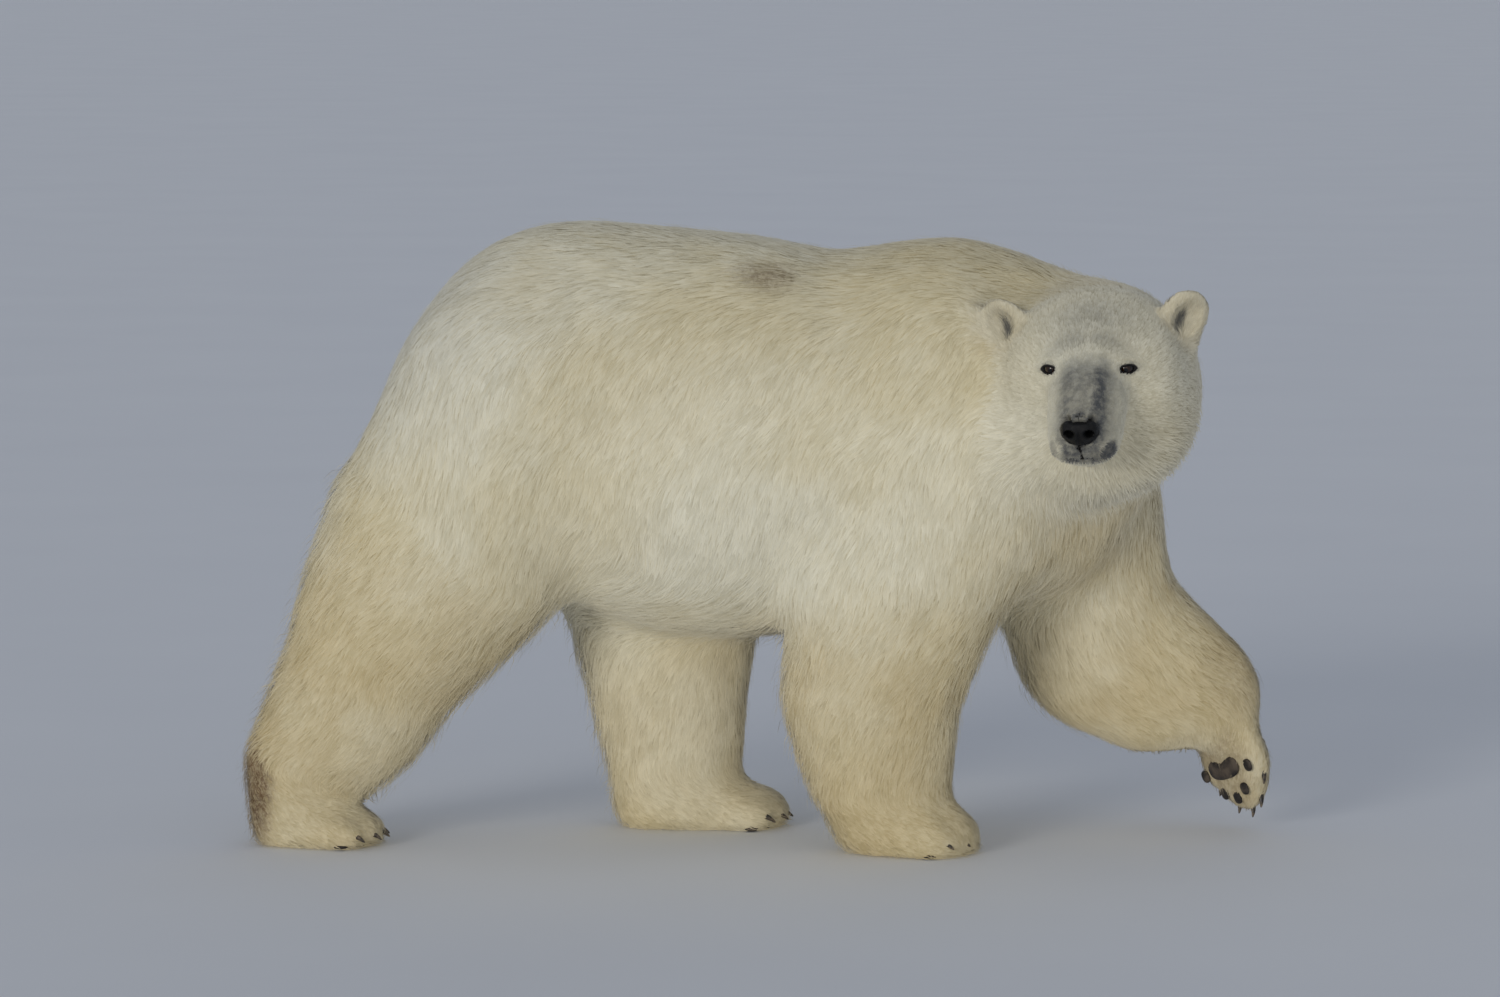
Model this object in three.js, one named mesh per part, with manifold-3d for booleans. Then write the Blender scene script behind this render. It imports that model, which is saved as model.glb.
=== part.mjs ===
// Life-size walking polar bear, in millimetres, for a still museum model.
// +X is the way the body faces, +Y is the bear's left and +Z is up. The floor is Z = 0.
// The right fore foot and both hind feet stand on the floor, the left fore foot is lifted, and the
// head is turned to the bear's right. The body is one smooth field of masses, meshed finer on the
// head and feet, and divided into its parts by thin plane cuts. The solids reach the coat's tips.
import * as THREE from "three";
import { mergeVertices } from "three/addons/utils/BufferGeometryUtils.js";
import Module from "manifold-3d";

const wasm = await Module();
wasm.setup();

// ---- Driving dimensions ----
const GAP = 0.6; // clearance left by every cut between two parts
const EYE_RADIUS = 15;
const EYE_SPREAD = 74; // each eye's centre from the head's mid-plane
const EYE_PROUD = 3.5; // how far each eyeball stands out of the face
const EAR_SPREAD = 158; // each ear's centre from the head's mid-plane
// Each claw is a bent cone: its bend is in degrees, and root is the place of its base along the toe.
const CLAW = {
  length: 50,
  radius: 9,
  bend: 42,
  flat: 0.8, // width as a share of depth
  taper: 1.7,
  steps: 3,
  sides: 5,
  root: 0.3,
  rise: 4,
};
const TOES = [-2, -1, 0, 1, 2]; // from one side of the paw to the other

// Mesh cell of each kind of part, and the triangles that are left after thinning.
const MESH = {
  body: { cell: 26, triangles: 2585 },
  paw: { cell: 12, triangles: 470 },
  head: { cell: 9, triangles: 2200 },
  ear: { cell: 6, triangles: 340 },
  nose: { cell: 4.5, triangles: 400 },
};

const COLOUR = { coat: 0xe3d9b8, face: 0xdedccb, leather: 0x17161a, eye: 0x1c120c, claw: 0x2b2622 };

// ---- Fields: signed distance in millimetres, negative inside ----

// Ellipsoid with half sizes along its own axes, turned by pitch about Y and then by yaw about Z.
function mass([cx, cy, cz], [a, b, c], pitch = 0, yaw = 0) {
  const turn = new THREE.Matrix4().makeRotationFromEuler(
    new THREE.Euler(0, THREE.MathUtils.degToRad(pitch), THREE.MathUtils.degToRad(yaw), "ZYX"),
  );
  const m = turn.clone().invert().elements;
  return (px, py, pz) => {
    const dx = px - cx;
    const dy = py - cy;
    const dz = pz - cz;
    const x = (m[0] * dx + m[4] * dy + m[8] * dz) / a;
    const y = (m[1] * dx + m[5] * dy + m[9] * dz) / b;
    const z = (m[2] * dx + m[6] * dy + m[10] * dz) / c;
    const k = Math.hypot(x, y, z);
    const g = Math.hypot(x / a, y / b, z / c);
    return g > 1e-9 ? (k * (k - 1)) / g : -Math.min(a, b, c);
  };
}

// Ball that travels from one station to the next while its radius changes. A station is
// [x, y, z, radius], and flat is the section's width across Y as a share of its depth.
function swell(from, to, flat) {
  const [ax, ay, az, ra] = from;
  const dx = to[0] - ax;
  const dy = (to[1] - ay) / flat;
  const dz = to[2] - az;
  const square = dx * dx + dy * dy + dz * dz;
  return (px, py, pz) => {
    const x = px - ax;
    const y = (py - ay) / flat;
    const z = pz - az;
    const t = Math.min(1, Math.max(0, (x * dx + y * dy + z * dz) / square));
    const d = Math.hypot(x - t * dx, y - t * dy, z - t * dz) - (ra + t * (to[3] - ra));
    return d * (d < 0 ? flat : 1);
  };
}

// Smooth union whose joins are rounded over about the given width.
function blend(width, fields) {
  return (x, y, z) => {
    let d = fields[0](x, y, z);
    for (let i = 1; i < fields.length; i++) {
      const e = fields[i](x, y, z);
      const h = Math.max(width - Math.abs(d - e), 0) / width;
      d = Math.min(d, e) - (h * h * width) / 4;
    }
    return d;
  };
}

function limb(stations, flat, width = 40) {
  return blend(
    width,
    stations.slice(1).map((s, i) => swell(stations[i], s, flat)),
  );
}

const without = (field, hollow) => (x, y, z) => Math.max(field(x, y, z), -hollow(x, y, z));

// Places a field given in a local frame whose matrix is its place in the body.
function placed(field, matrix) {
  const m = matrix.clone().invert().elements;
  return (x, y, z) =>
    field(
      m[0] * x + m[4] * y + m[8] * z + m[12],
      m[1] * x + m[5] * y + m[9] * z + m[13],
      m[2] * x + m[6] * y + m[10] * z + m[14],
    );
}

// Frame at a point whose +X is forward and whose +Z is as near to up as it can be.
function frameAt(point, forward, up = [0, 0, 1]) {
  const x = new THREE.Vector3(...forward).normalize();
  const y = new THREE.Vector3(...up).cross(x).normalize();
  const z = x.clone().cross(y);
  return new THREE.Matrix4().makeBasis(x, y, z).setPosition(...point);
}

// ---- Trunk ----
const trunk = blend(90, [
  mass([-330, 0, 862], [318, 262, 318], 14),
  mass([-60, 0, 800], [440, 290, 362], 6),
  mass([-40, 0, 690], [420, 255, 285]),
  mass([250, 0, 790], [370, 270, 312]),
  mass([370, 0, 985], [235, 150, 150], -4),
  mass([520, 10, 715], [220, 200, 240]),
]);

// ---- Neck: from the shoulders forward, then round to the bear's right ----
const neck = limb(
  [
    [380, 0, 885, 245],
    [555, -10, 856, 222],
    [655, -100, 878, 187],
    [665, -190, 884, 183],
  ],
  1,
  60,
);

// ---- Head, in a frame at the point between the eyes, +X to the nose and +Y to its left ----
const HEAD_PLACE = frameAt([652, -388, 938], [-0.075, -0.94, -0.342], [-0.022, 0, 1]);

const skull = blend(30, [
  mass([-140, 0, -8], [150, 137, 84]),
  mass([-45, 0, -20], [95, 84, 58], 12),
  limb(
    [
      [-30, 0, -42, 76],
      [60, 0, -50, 65],
      [138, 0, -58, 47],
    ],
    1,
    30,
  ),
  limb(
    [
      [-60, 0, -110, 62],
      [60, 0, -112, 43],
      [122, 0, -104, 30],
    ],
    1.05,
    30,
  ),
  mass([-100, 80, -62], [100, 78, 96]),
  mass([-100, -80, -62], [100, 78, 96]),
  mass([112, 36, -85], [58, 29, 35]),
  mass([112, -36, -85], [58, 29, 35]),
  mass([-150, 0, -115], [120, 160, 100]),
  mass([-92, -48, -186], [104, 184, 112], 20),
]);

// Each ear stands up and out from the crown, its cup turned forward. The right one is held a little
// lower and further forward than the left.
function earPlace(side) {
  const up = [-0.12, side * 0.42, 1];
  const spot = side > 0 ? [-168, EAR_SPREAD, 20] : [-154, -EAR_SPREAD - 7, 13];
  return frameAt(spot, [0.9, side * 0.38, -0.05], up);
}

const ear = blend(14, [mass([0, 0, 8], [17, 48, 54]), mass([-6, 0, -36], [26, 50, 42])]);
const earCup = mass([25, 0, 8], [24, 33, 40]);
// The right ear's outer edge runs on down the side of the head as a low lobe.
const earLobe = mass([14, -12, -58], [16, 26, 36]);
const bothEars = (field, rightField = field) => {
  const left = placed(field, earPlace(1));
  const right = placed(rightField, earPlace(-1));
  return (x, y, z) => Math.min(left(x, y, z), right(x, y, z));
};

// Nose leather at the muzzle's end, with its two nostrils.
const NOSE = { ahead: 176, drop: 42 };
const noseLeather = blend(10, [
  mass([NOSE.ahead, 0, -NOSE.drop + 3], [20, 35, 23]),
  mass([NOSE.ahead + 2, 0, -NOSE.drop - 15], [15, 15, 18]),
]);
const nostrils = blend(
  2,
  [1, -1].map((side) => mass([NOSE.ahead + 20, side * 20, -NOSE.drop - 4], [12, 9, 8])),
);

const headWithEars = without(
  blend(16, [skull, bothEars(ear, blend(14, [ear, earLobe]))]),
  bothEars(earCup),
);
const headField = placed(without(blend(12, [headWithEars, noseLeather]), nostrils), HEAD_PLACE);

// ---- Paws, in a frame whose +X is to the toes and whose +Z is off the sole ----
const PAWS = {
  fore: {
    sole: [mass([40, 0, 36], [120, 92, 64]), mass([-30, 0, 50], [88, 86, 72])],
    toeRow: 100,
    toeGap: 39,
    toeArc: 8,
    toe: [52, 25, 38],
  },
  hanging: {
    sole: [mass([88, 0, 34], [112, 83, 42]), mass([0, 0, 40], [66, 74, 52])],
    toeRow: 182,
    toeGap: 34,
    toeArc: 14,
    toe: [46, 23, 32],
  },
  hind: {
    sole: [mass([50, 0, 36], [165, 86, 60]), mass([-40, 0, 52], [84, 78, 76])],
    toeRow: 168,
    toeGap: 36,
    toeArc: 8,
    toe: [52, 24, 36],
  },
  pushing: {
    sole: [mass([25, 0, 34], [110, 86, 58]), mass([-46, 0, 60], [52, 72, 76])],
    toeRow: 116,
    toeGap: 36,
    toeArc: 8,
    toe: [52, 24, 34],
  },
};

// The toes stand in an arc, the middle one foremost.
function toeCentre(paw, i) {
  return [paw.toeRow - paw.toeArc * i * i, i * paw.toeGap, paw.toe[2] * 0.88];
}

function pawField(paw) {
  return blend(16, [blend(40, paw.sole), ...TOES.map((i) => mass(toeCentre(paw, i), paw.toe))]);
}

// ---- Limbs: stations [x, y, z, radius] from the body down to the ankle or wrist ----
const LIMBS = {
  fore_right: {
    stations: [
      [350, -120, 900, 165],
      [400, -140, 700, 198],
      [280, -160, 470, 180],
      [243, -150, 310, 158],
      [258, -135, 175, 132],
      [272, -132, 100, 112],
    ],
    flat: 0.72,
    paw: PAWS.fore,
    place: frameAt([292, -130, 0], [1, -0.12, 0]),
  },
  fore_left: {
    stations: [
      [450, 120, 860, 165],
      [570, 160, 640, 198],
      [668, 180, 356, 158],
      [775, 182, 300, 146],
      [872, 178, 272, 100],
    ],
    flat: 0.76,
    paw: PAWS.hanging,
    place: frameAt([857, 172, 238], [0.38, -0.06, -0.92], [0.66, 0.62, 0.3]),
  },
  hind_right: {
    stations: [
      [-430, -120, 820, 250],
      [-560, -145, 580, 225],
      [-650, -148, 440, 182],
      [-748, -145, 262, 144],
      [-838, -138, 150, 108],
    ],
    flat: 0.72,
    paw: PAWS.pushing,
    place: frameAt([-842, -136, 0], [1, -0.05, 0]),
    heel: mass([-868, -138, 160], [66, 72, 74], 20),
  },
  hind_left: {
    stations: [
      [-360, 110, 820, 240],
      [-200, 140, 560, 205],
      [-172, 145, 350, 160],
      [-160, 140, 190, 130],
      [-152, 138, 110, 116],
    ],
    flat: 0.74,
    paw: PAWS.hind,
    place: frameAt([-150, 138, 0], [1, 0.06, 0]),
  },
};

const limbFields = Object.values(LIMBS).map((l) => {
  const shaft = limb(l.stations, l.flat, 50);
  const whole = l.heel ? blend(40, [shaft, l.heel]) : shaft;
  return blend(36, [whole, placed(pawField(l.paw), l.place)]);
});

const TAIL_PLACE = frameAt([-590, 0, 905], [-92, 0, -137]);
const tailField = placed(swell([0, 0, 0, 52], [165, 0, 0, 33], 0.95), TAIL_PLACE);
const torso = blend(30, [blend(70, [trunk, neck]), tailField]);
const core = blend(44, [torso, headField]);

// Each limb melts into the trunk, and not into another limb.
const LIMB_ROUNDING = 70;
function body(x, y, z) {
  const c = core(x, y, z);
  let d = c;
  for (const field of limbFields) {
    const e = field(x, y, z);
    const h = Math.max(LIMB_ROUNDING - Math.abs(c - e), 0) / LIMB_ROUNDING;
    d = Math.min(d, Math.min(c, e) - (h * h * LIMB_ROUNDING) / 4);
  }
  return d;
}

// ---- Meshing ----

// Surface of a field inside a box, as one closed geometry: one corner in each cell that the
// surface crosses, drawn onto the surface, and a pair of triangles round each crossed edge.
function surfaceOf(field, low, high, cell) {
  const n = low.map((v, i) => Math.ceil((high[i] - v) / cell) + 3);
  const at = (i, axis) => low[axis] + (i - 1) * cell;
  const inBox = (x, y, z) =>
    Math.max(low[0] - x, x - high[0], low[1] - y, y - high[1], low[2] - z, z - high[2]);
  const closed = (x, y, z) => Math.max(field(x, y, z), inBox(x, y, z));
  const index = (i, j, k) => i + n[0] * (j + n[1] * k);
  const value = new Float64Array(n[0] * n[1] * n[2]);
  for (let k = 0; k < n[2]; k++)
    for (let j = 0; j < n[1]; j++)
      for (let i = 0; i < n[0]; i++) value[index(i, j, k)] = closed(at(i, 0), at(j, 1), at(k, 2));

  const corner = new Map();
  const points = [];
  for (let k = 0; k < n[2] - 1; k++)
    for (let j = 0; j < n[1] - 1; j++)
      for (let i = 0; i < n[0] - 1; i++) {
        const sum = [0, 0, 0];
        let crossings = 0;
        for (let axis = 0; axis < 3; axis++)
          for (let side = 0; side < 4; side++) {
            const a = [i, j, k];
            a[(axis + 1) % 3] += side & 1;
            a[(axis + 2) % 3] += side >> 1;
            const b = [...a];
            b[axis] += 1;
            const va = value[index(...a)];
            const vb = value[index(...b)];
            if (va < 0 === vb < 0) continue;
            const t = va / (va - vb);
            for (let c = 0; c < 3; c++) sum[c] += at(a[c], c) + (c === axis ? t * cell : 0);
            crossings++;
          }
        if (!crossings) continue;
        corner.set(index(i, j, k), points.length / 3);
        points.push(...drawnOn(closed, sum.map((v) => v / crossings), cell));
      }

  const faces = [];
  for (let k = 1; k < n[2] - 1; k++)
    for (let j = 1; j < n[1] - 1; j++)
      for (let i = 1; i < n[0] - 1; i++)
        for (let axis = 0; axis < 3; axis++) {
          const b = [i, j, k];
          b[axis] += 1;
          const inside = value[index(i, j, k)] < 0;
          if (inside === value[index(...b)] < 0) continue;
          const u = (axis + 1) % 3;
          const w = (axis + 2) % 3;
          const ring = [
            [0, 0],
            [1, 0],
            [1, 1],
            [0, 1],
          ].map(([du, dw]) => {
            const c = [i, j, k];
            c[u] -= du;
            c[w] -= dw;
            return corner.get(index(...c));
          });
          if (!inside) ring.reverse();
          faces.push(...splitQuad(points, ring));
        }
  return new THREE.BufferGeometry()
    .setAttribute("position", new THREE.Float32BufferAttribute(points, 3))
    .setIndex(faces);
}

// Moves a point along the field's slope onto its surface, at most half a cell away.
function drawnOn(field, [x, y, z], cell) {
  const e = 0.5;
  const p = new THREE.Vector3(x, y, z);
  for (let step = 0; step < 2; step++) {
    const d = field(p.x, p.y, p.z);
    const slope = new THREE.Vector3(
      field(p.x + e, p.y, p.z) - field(p.x - e, p.y, p.z),
      field(p.x, p.y + e, p.z) - field(p.x, p.y - e, p.z),
      field(p.x, p.y, p.z + e) - field(p.x, p.y, p.z - e),
    ).divideScalar(2 * e);
    const move = slope.multiplyScalar(-d / Math.max(slope.lengthSq(), 0.25));
    p.add(move.clampLength(0, cell / 4));
  }
  return p.toArray();
}

// Two triangles for a quad, along its shorter diagonal.
function splitQuad(points, [a, b, c, d]) {
  const span = (i, j) =>
    Math.hypot(
      points[3 * i] - points[3 * j],
      points[3 * i + 1] - points[3 * j + 1],
      points[3 * i + 2] - points[3 * j + 2],
    );
  return span(a, c) < span(b, d) ? [a, b, c, a, c, d] : [a, b, d, b, c, d];
}

// ---- Thinning ----

// Sum of squared distances to the planes of the faces round a corner, as ten numbers.
function planeSum(sums, corner, [a, b, c, d], weight) {
  [a * a, a * b, a * c, a * d, b * b, b * c, b * d, c * c, c * d, d * d].forEach((v, i) => {
    sums[10 * corner + i] += v * weight;
  });
}

function planeCost(q, [x, y, z]) {
  return (
    q[0] * x * x + 2 * q[1] * x * y + 2 * q[2] * x * z + 2 * q[3] * x +
    q[4] * y * y + 2 * q[5] * y * z + 2 * q[6] * y +
    q[7] * z * z + 2 * q[8] * z + q[9]
  );
}

function facePlane([a, b, c]) {
  const u = new THREE.Vector3(b[0] - a[0], b[1] - a[1], b[2] - a[2]);
  const v = new THREE.Vector3(c[0] - a[0], c[1] - a[1], c[2] - a[2]);
  const n = u.cross(v);
  const area = n.length() / 2;
  n.normalize();
  return { n, area, d: -(n.x * a[0] + n.y * a[1] + n.z * a[2]) };
}

// Merges the corners whose edge matters least to the shape until few enough triangles are left.
// The surface stays closed: an edge goes only where its ends share exactly two neighbours.
function thinned(geometry, triangles) {
  const array = geometry.getAttribute("position").array;
  const at = Array.from({ length: array.length / 3 }, (_, i) => [...array.slice(3 * i, 3 * i + 3)]);
  const faces = [];
  for (let i = 0; i < geometry.index.count; i += 3) faces.push([...geometry.index.array.slice(i, i + 3)]);
  const facesOf = at.map(() => new Set());
  faces.forEach((f, i) => f.forEach((v) => facesOf[v].add(i)));
  const sums = new Float64Array(at.length * 10);
  for (const f of faces) {
    const { n, area, d } = facePlane(f.map((v) => at[v]));
    f.forEach((v) => planeSum(sums, v, [n.x, n.y, n.z, d], area));
  }
  const neighbours = (v) => {
    const found = new Set([...facesOf[v]].flatMap((i) => faces[i]));
    found.delete(v);
    return found;
  };
  const sumOf = (a, b) => Array.from({ length: 10 }, (_, i) => sums[10 * a + i] + sums[10 * b + i]);
  const merge = (a, b) => {
    const q = sumOf(a, b);
    const middle = at[a].map((v, i) => (v + at[b][i]) / 2);
    return [at[a], at[b], middle]
      .map((point) => ({ point, cost: planeCost(q, point) }))
      .reduce((best, next) => (next.cost < best.cost ? next : best));
  };
  const stamp = new Int32Array(at.length);
  const queue = [];
  const push = (a, b) => {
    const { cost } = merge(a, b);
    queue.push({ cost, a, b, seen: stamp[a] + stamp[b] });
  };
  at.forEach((_, v) => neighbours(v).forEach((w) => v < w && push(v, w)));
  queue.sort((p, q) => q.cost - p.cost);
  let left = faces.length;
  let batch = [];
  const keepsFacing = (v, gone, point) =>
    [...facesOf[v]].every((i) => {
      if (faces[i].includes(gone)) return true;
      const before = facePlane(faces[i].map((w) => at[w]));
      const after = facePlane(faces[i].map((w) => (w === v ? point : at[w])));
      return after.area > 1e-6 && before.n.dot(after.n) > 0.3;
    });
  while (left > triangles && queue.length) {
    const { a, b, seen } = queue.pop();
    if (seen === stamp[a] + stamp[b] && facesOf[a].size && facesOf[b].size) {
      const around = neighbours(a);
      const shared = [...neighbours(b)].filter((v) => around.has(v));
      const { point } = merge(a, b);
      if (shared.length === 2 && around.has(b) && keepsFacing(a, b, point) && keepsFacing(b, a, point)) {
        for (const i of [...facesOf[b]]) {
          if (faces[i].includes(a)) {
            faces[i].forEach((v) => facesOf[v].delete(i));
            left--;
          } else {
            faces[i] = faces[i].map((v) => (v === b ? a : v));
            facesOf[a].add(i);
          }
        }
        facesOf[b].clear();
        at[a] = point;
        for (let i = 0; i < 10; i++) sums[10 * a + i] += sums[10 * b + i];
        stamp[a]++;
        batch.push(a);
      }
    }
    if (batch.length > 24 || !queue.length) {
      for (const v of new Set(batch)) neighbours(v).forEach((w) => facesOf[v].size && push(v, w));
      queue.sort((p, q) => q.cost - p.cost);
      batch = [];
    }
  }
  const kept = [...new Set(facesOf.flatMap((set) => [...set]))].map((i) => faces[i]);
  const thin = new THREE.BufferGeometry()
    .setAttribute("position", new THREE.Float32BufferAttribute(at.flat(), 3))
    .setIndex(kept.flat());
  return mergeVertices(thin.toNonIndexed(), 1e-4);
}

// ---- Solids ----
function toSolid(geometry) {
  const bare = new THREE.BufferGeometry()
    .setAttribute("position", geometry.getAttribute("position"))
    .setIndex(geometry.index);
  const merged = mergeVertices(bare, 1e-3);
  return new wasm.Manifold(
    new wasm.Mesh({
      numProp: 3,
      vertProperties: new Float32Array(merged.attributes.position.array),
      triVerts: new Uint32Array(merged.index.array),
    }),
  );
}

function toGeometry(solid) {
  const mesh = solid.getMesh();
  const positions = new Float32Array(mesh.numVert * 3);
  for (let i = 0; i < mesh.numVert; i++) {
    const at = i * mesh.numProp;
    positions.set(mesh.vertProperties.subarray(at, at + 3), i * 3);
  }
  const geometry = new THREE.BufferGeometry()
    .setAttribute("position", new THREE.BufferAttribute(positions, 3))
    .setIndex(new THREE.BufferAttribute(mesh.triVerts, 1));
  geometry.computeVertexNormals();
  return geometry;
}

// Box between two corners of a frame, grown on every side.
function boxSolid(low, high, grow, frame) {
  const size = low.map((v, i) => high[i] - v + 2 * grow);
  const middle = low.map((v, i) => (v + high[i]) / 2);
  return toSolid(new THREE.BoxGeometry(...size).translate(...middle).applyMatrix4(frame));
}

// Everything on the side of a plane that its normal points to, grown past the plane.
function halfSpace([point, normal], grow) {
  const reach = 4000;
  const n = new THREE.Vector3(...normal).normalize();
  const turn = new THREE.Quaternion().setFromUnitVectors(new THREE.Vector3(0, 0, 1), n);
  const centre = new THREE.Vector3(...point).addScaledVector(n, reach / 2 - grow);
  const box = new THREE.BoxGeometry(reach, reach, reach).applyQuaternion(turn);
  return toSolid(box.translate(...centre));
}

const UNTURNED = new THREE.Matrix4();

function region(part, grow) {
  return (part.planes ?? []).reduce(
    (solid, plane) => solid.intersect(halfSpace(plane, grow)),
    boxSolid(part.low, part.high, grow, part.frame ?? UNTURNED),
  );
}

const flipped = ([point, normal]) => [point, normal.map((v) => -v)];

// The crumbs that a cut leaves beside a part are dropped.
function largestBody(solid) {
  return solid.decompose().sort((a, b) => b.volume() - a.volume())[0];
}

// The whole body at the coarser mesh, for the trunk and the parts that have no mesh of their own.
const whole = toSolid(
  thinned(surfaceOf(body, [-1150, -450, 0], [1150, 450, 1300], MESH.body.cell), MESH.body.triangles),
);

// One part of the body: meshed in a box a little larger than its region, thinned, then trimmed.
function bodyPart(part) {
  if (!part.mesh) return largestBody(whole.intersect(region(part, -GAP / 2)));
  const { cell, triangles } = MESH[part.mesh];
  const reach = new THREE.Box3(new THREE.Vector3(...part.low), new THREE.Vector3(...part.high))
    .applyMatrix4(part.frame ?? UNTURNED)
    .expandByScalar(cell * 2);
  const rough = surfaceOf(body, reach.min.toArray(), reach.max.toArray(), cell);
  return largestBody(toSolid(thinned(rough, triangles)).intersect(region(part, -GAP / 2)));
}

// ---- Cuts: each plane is [point, normal towards the outer part] ----
const CUTS = {
  neck: [[500, 0, 860], [0.93, -0.3, 0.2]],
  head: [[655, -200, 900], [0.12, -0.97, -0.2]],
  throat: [[640, -250, 640], [0.3, -0.12, 0.94]],
  shoulder: [[478, -260, 880], [0.9, -0.42, 0]],
  fore_right: {
    shoulder: [[330, -150, 470], [0.15, -0.25, -1]],
    elbow: [[260, -160, 330], [0, 0, -1]],
    wrist: [[265, -150, 122], [0.1, 0, -1]],
  },
  fore_left: {
    shoulder: [[600, 170, 510], [0.7, 0.1, -0.7]],
    elbow: [[735, 180, 320], [0.93, 0, -0.36]],
    wrist: [[885, 175, 232], [0.3, 0, -0.95]],
  },
  hind_right: {
    hip: [[-480, -150, 560], [-0.62, 0, -0.78]],
    knee: [[-690, -155, 360], [-0.5, 0, -0.86]],
    ankle: [[-830, -155, 150], [-0.35, 0, -0.94]],
  },
  hind_left: {
    hip: [[-200, 150, 430], [0.15, 0.25, -1]],
    knee: [[-160, 150, 285], [0, 0, -1]],
    ankle: [[-150, 150, 120], [0.1, 0, -1]],
  },
};

function limbParts(name, low, high) {
  const [top, middle, end] = Object.values(CUTS[name]);
  const [upper, lower] = name.startsWith("fore") ? ["upper_arm", "forearm"] : ["thigh", "shank"];
  return [
    { name: `${name}_${upper}`, low, high, planes: [top, flipped(middle)] },
    { name: `${name}_${lower}`, low, high, planes: [middle, flipped(end)] },
    { name: `${name}_paw`, low, high, planes: [end], mesh: "paw" },
  ];
}

const inHead = (matrix) => HEAD_PLACE.clone().multiply(matrix);
const parts = [
  ...[1, -1].map((side) => ({
    name: side > 0 ? "ear_left" : "ear_right",
    frame: inHead(earPlace(side)),
    low: [-18, side > 0 ? -54 : -50, -28],
    high: [32, side > 0 ? 50 : 54, 78],
    mesh: "ear",
  })),
  { name: "nose", frame: HEAD_PLACE, low: [172, -40, -66], high: [230, 40, 4], mesh: "nose" },
  {
    name: "head",
    low: [400, -640, 560],
    high: [900, -140, 1160],
    planes: [CUTS.head, CUTS.throat, CUTS.shoulder],
    mesh: "head",
  },
  {
    name: "neck",
    low: [420, -340, 560],
    high: [960, 260, 1160],
    planes: [CUTS.neck, CUTS.throat, CUTS.shoulder, flipped(CUTS.head)],
  },
  { name: "tail", frame: TAIL_PLACE, low: [70, -44, -30], high: [215, 44, 60] },
  ...limbParts("fore_right", [60, -420, 0], [560, 0, 620]),
  ...limbParts("fore_left", [420, 0, 0], [1120, 420, 760]),
  ...limbParts("hind_right", [-1080, -420, 0], [-330, 22, 900]),
  ...limbParts("hind_left", [-420, 0, 0], [200, 420, 620]),
];

// ---- Assembly ----
const group = new THREE.Group();
group.name = "polar_bear";

function addNode(name, geometry, colour, roughness) {
  const material = new THREE.MeshStandardMaterial({ color: colour, roughness, metalness: 0 });
  const mesh = new THREE.Mesh(geometry, material);
  mesh.name = name;
  group.add(mesh);
}

// The eyeballs sit in sockets cut from the head, with their lids' edge left to the coat.
function addEyes() {
  for (const side of [1, -1]) {
    const ball = (radius) => {
      const centre = eyeCentre(side);
      return new THREE.IcosahedronGeometry(radius, 2).translate(...centre);
    };
    solids.head = solids.head.subtract(toSolid(ball(EYE_RADIUS + GAP)));
    addNode(side > 0 ? "eye_left" : "eye_right", ball(EYE_RADIUS), COLOUR.eye, 0.15);
  }
}

// Walks in from ahead of the face to the skin, then sinks the eyeball until it is barely proud.
function eyeCentre(side) {
  const at = (x) => new THREE.Vector3(x, side * EYE_SPREAD, 0).applyMatrix4(HEAD_PLACE);
  let ahead = 80;
  while (headField(...at(ahead)) > 0) ahead -= 0.5;
  const outward = new THREE.Vector3(0.72, side * 0.66, 0.2).transformDirection(HEAD_PLACE);
  return at(ahead).addScaledVector(outward, EYE_PROUD - EYE_RADIUS);
}

// A curved cone whose root is at the origin and whose tip points along +X and down.
function clawGeometry(grow) {
  const { length, radius, bend, flat, taper, steps, sides } = CLAW;
  const profile = [new THREE.Vector2(0, -grow)];
  for (let i = 0; i < steps; i++) {
    const t = i / steps;
    profile.push(new THREE.Vector2(radius * (1 - t ** taper) + grow, t * length - (i ? 0 : grow)));
  }
  profile.push(new THREE.Vector2(0, length + grow));
  const cone = new THREE.LatheGeometry(profile, sides);
  const at = cone.getAttribute("position");
  const turn = THREE.MathUtils.degToRad(bend) / length;
  for (let i = 0; i < at.count; i++) {
    const angle = at.getY(i) * turn;
    const bendRadius = 1 / turn + at.getX(i);
    const sideways = at.getZ(i) * flat;
    at.setXYZ(i, bendRadius * Math.sin(angle), sideways, bendRadius * Math.cos(angle) - 1 / turn);
  }
  cone.deleteAttribute("normal");
  cone.deleteAttribute("uv");
  return mergeVertices(cone, 1e-3);
}

function addClaws() {
  for (const [limbName, l] of Object.entries(LIMBS)) {
    const pawName = `${limbName}_paw`;
    for (const i of TOES) {
      const [x, y, z] = toeCentre(l.paw, i);
      const root = [x + l.paw.toe[0] * CLAW.root, y, z + CLAW.rise];
      const place = l.place.clone().multiply(frameAt(root, [1, i * 0.06, -0.1]));
      solids[pawName] = solids[pawName].subtract(toSolid(clawGeometry(GAP).applyMatrix4(place)));
      addNode(`claw_${limbName}_${i + 3}`, clawGeometry(0).applyMatrix4(place), COLOUR.claw, 0.4);
    }
    solids[pawName] = largestBody(solids[pawName]);
  }
}

const solids = {};
const taken = [];
for (const part of parts) {
  const own = taken.reduce((rest, other) => rest.subtract(other), bodyPart(part));
  solids[part.name] = largestBody(own);
  taken.push(region(part, GAP / 2));
}
solids.trunk = largestBody(taken.reduce((rest, other) => rest.subtract(other), whole));

addEyes();
addClaws();
const BARE = { nose: COLOUR.leather, head: COLOUR.face };
for (const [name, solid] of Object.entries(solids)) {
  addNode(name, toGeometry(solid), BARE[name] ?? COLOUR.coat, 0.9);
}

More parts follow.
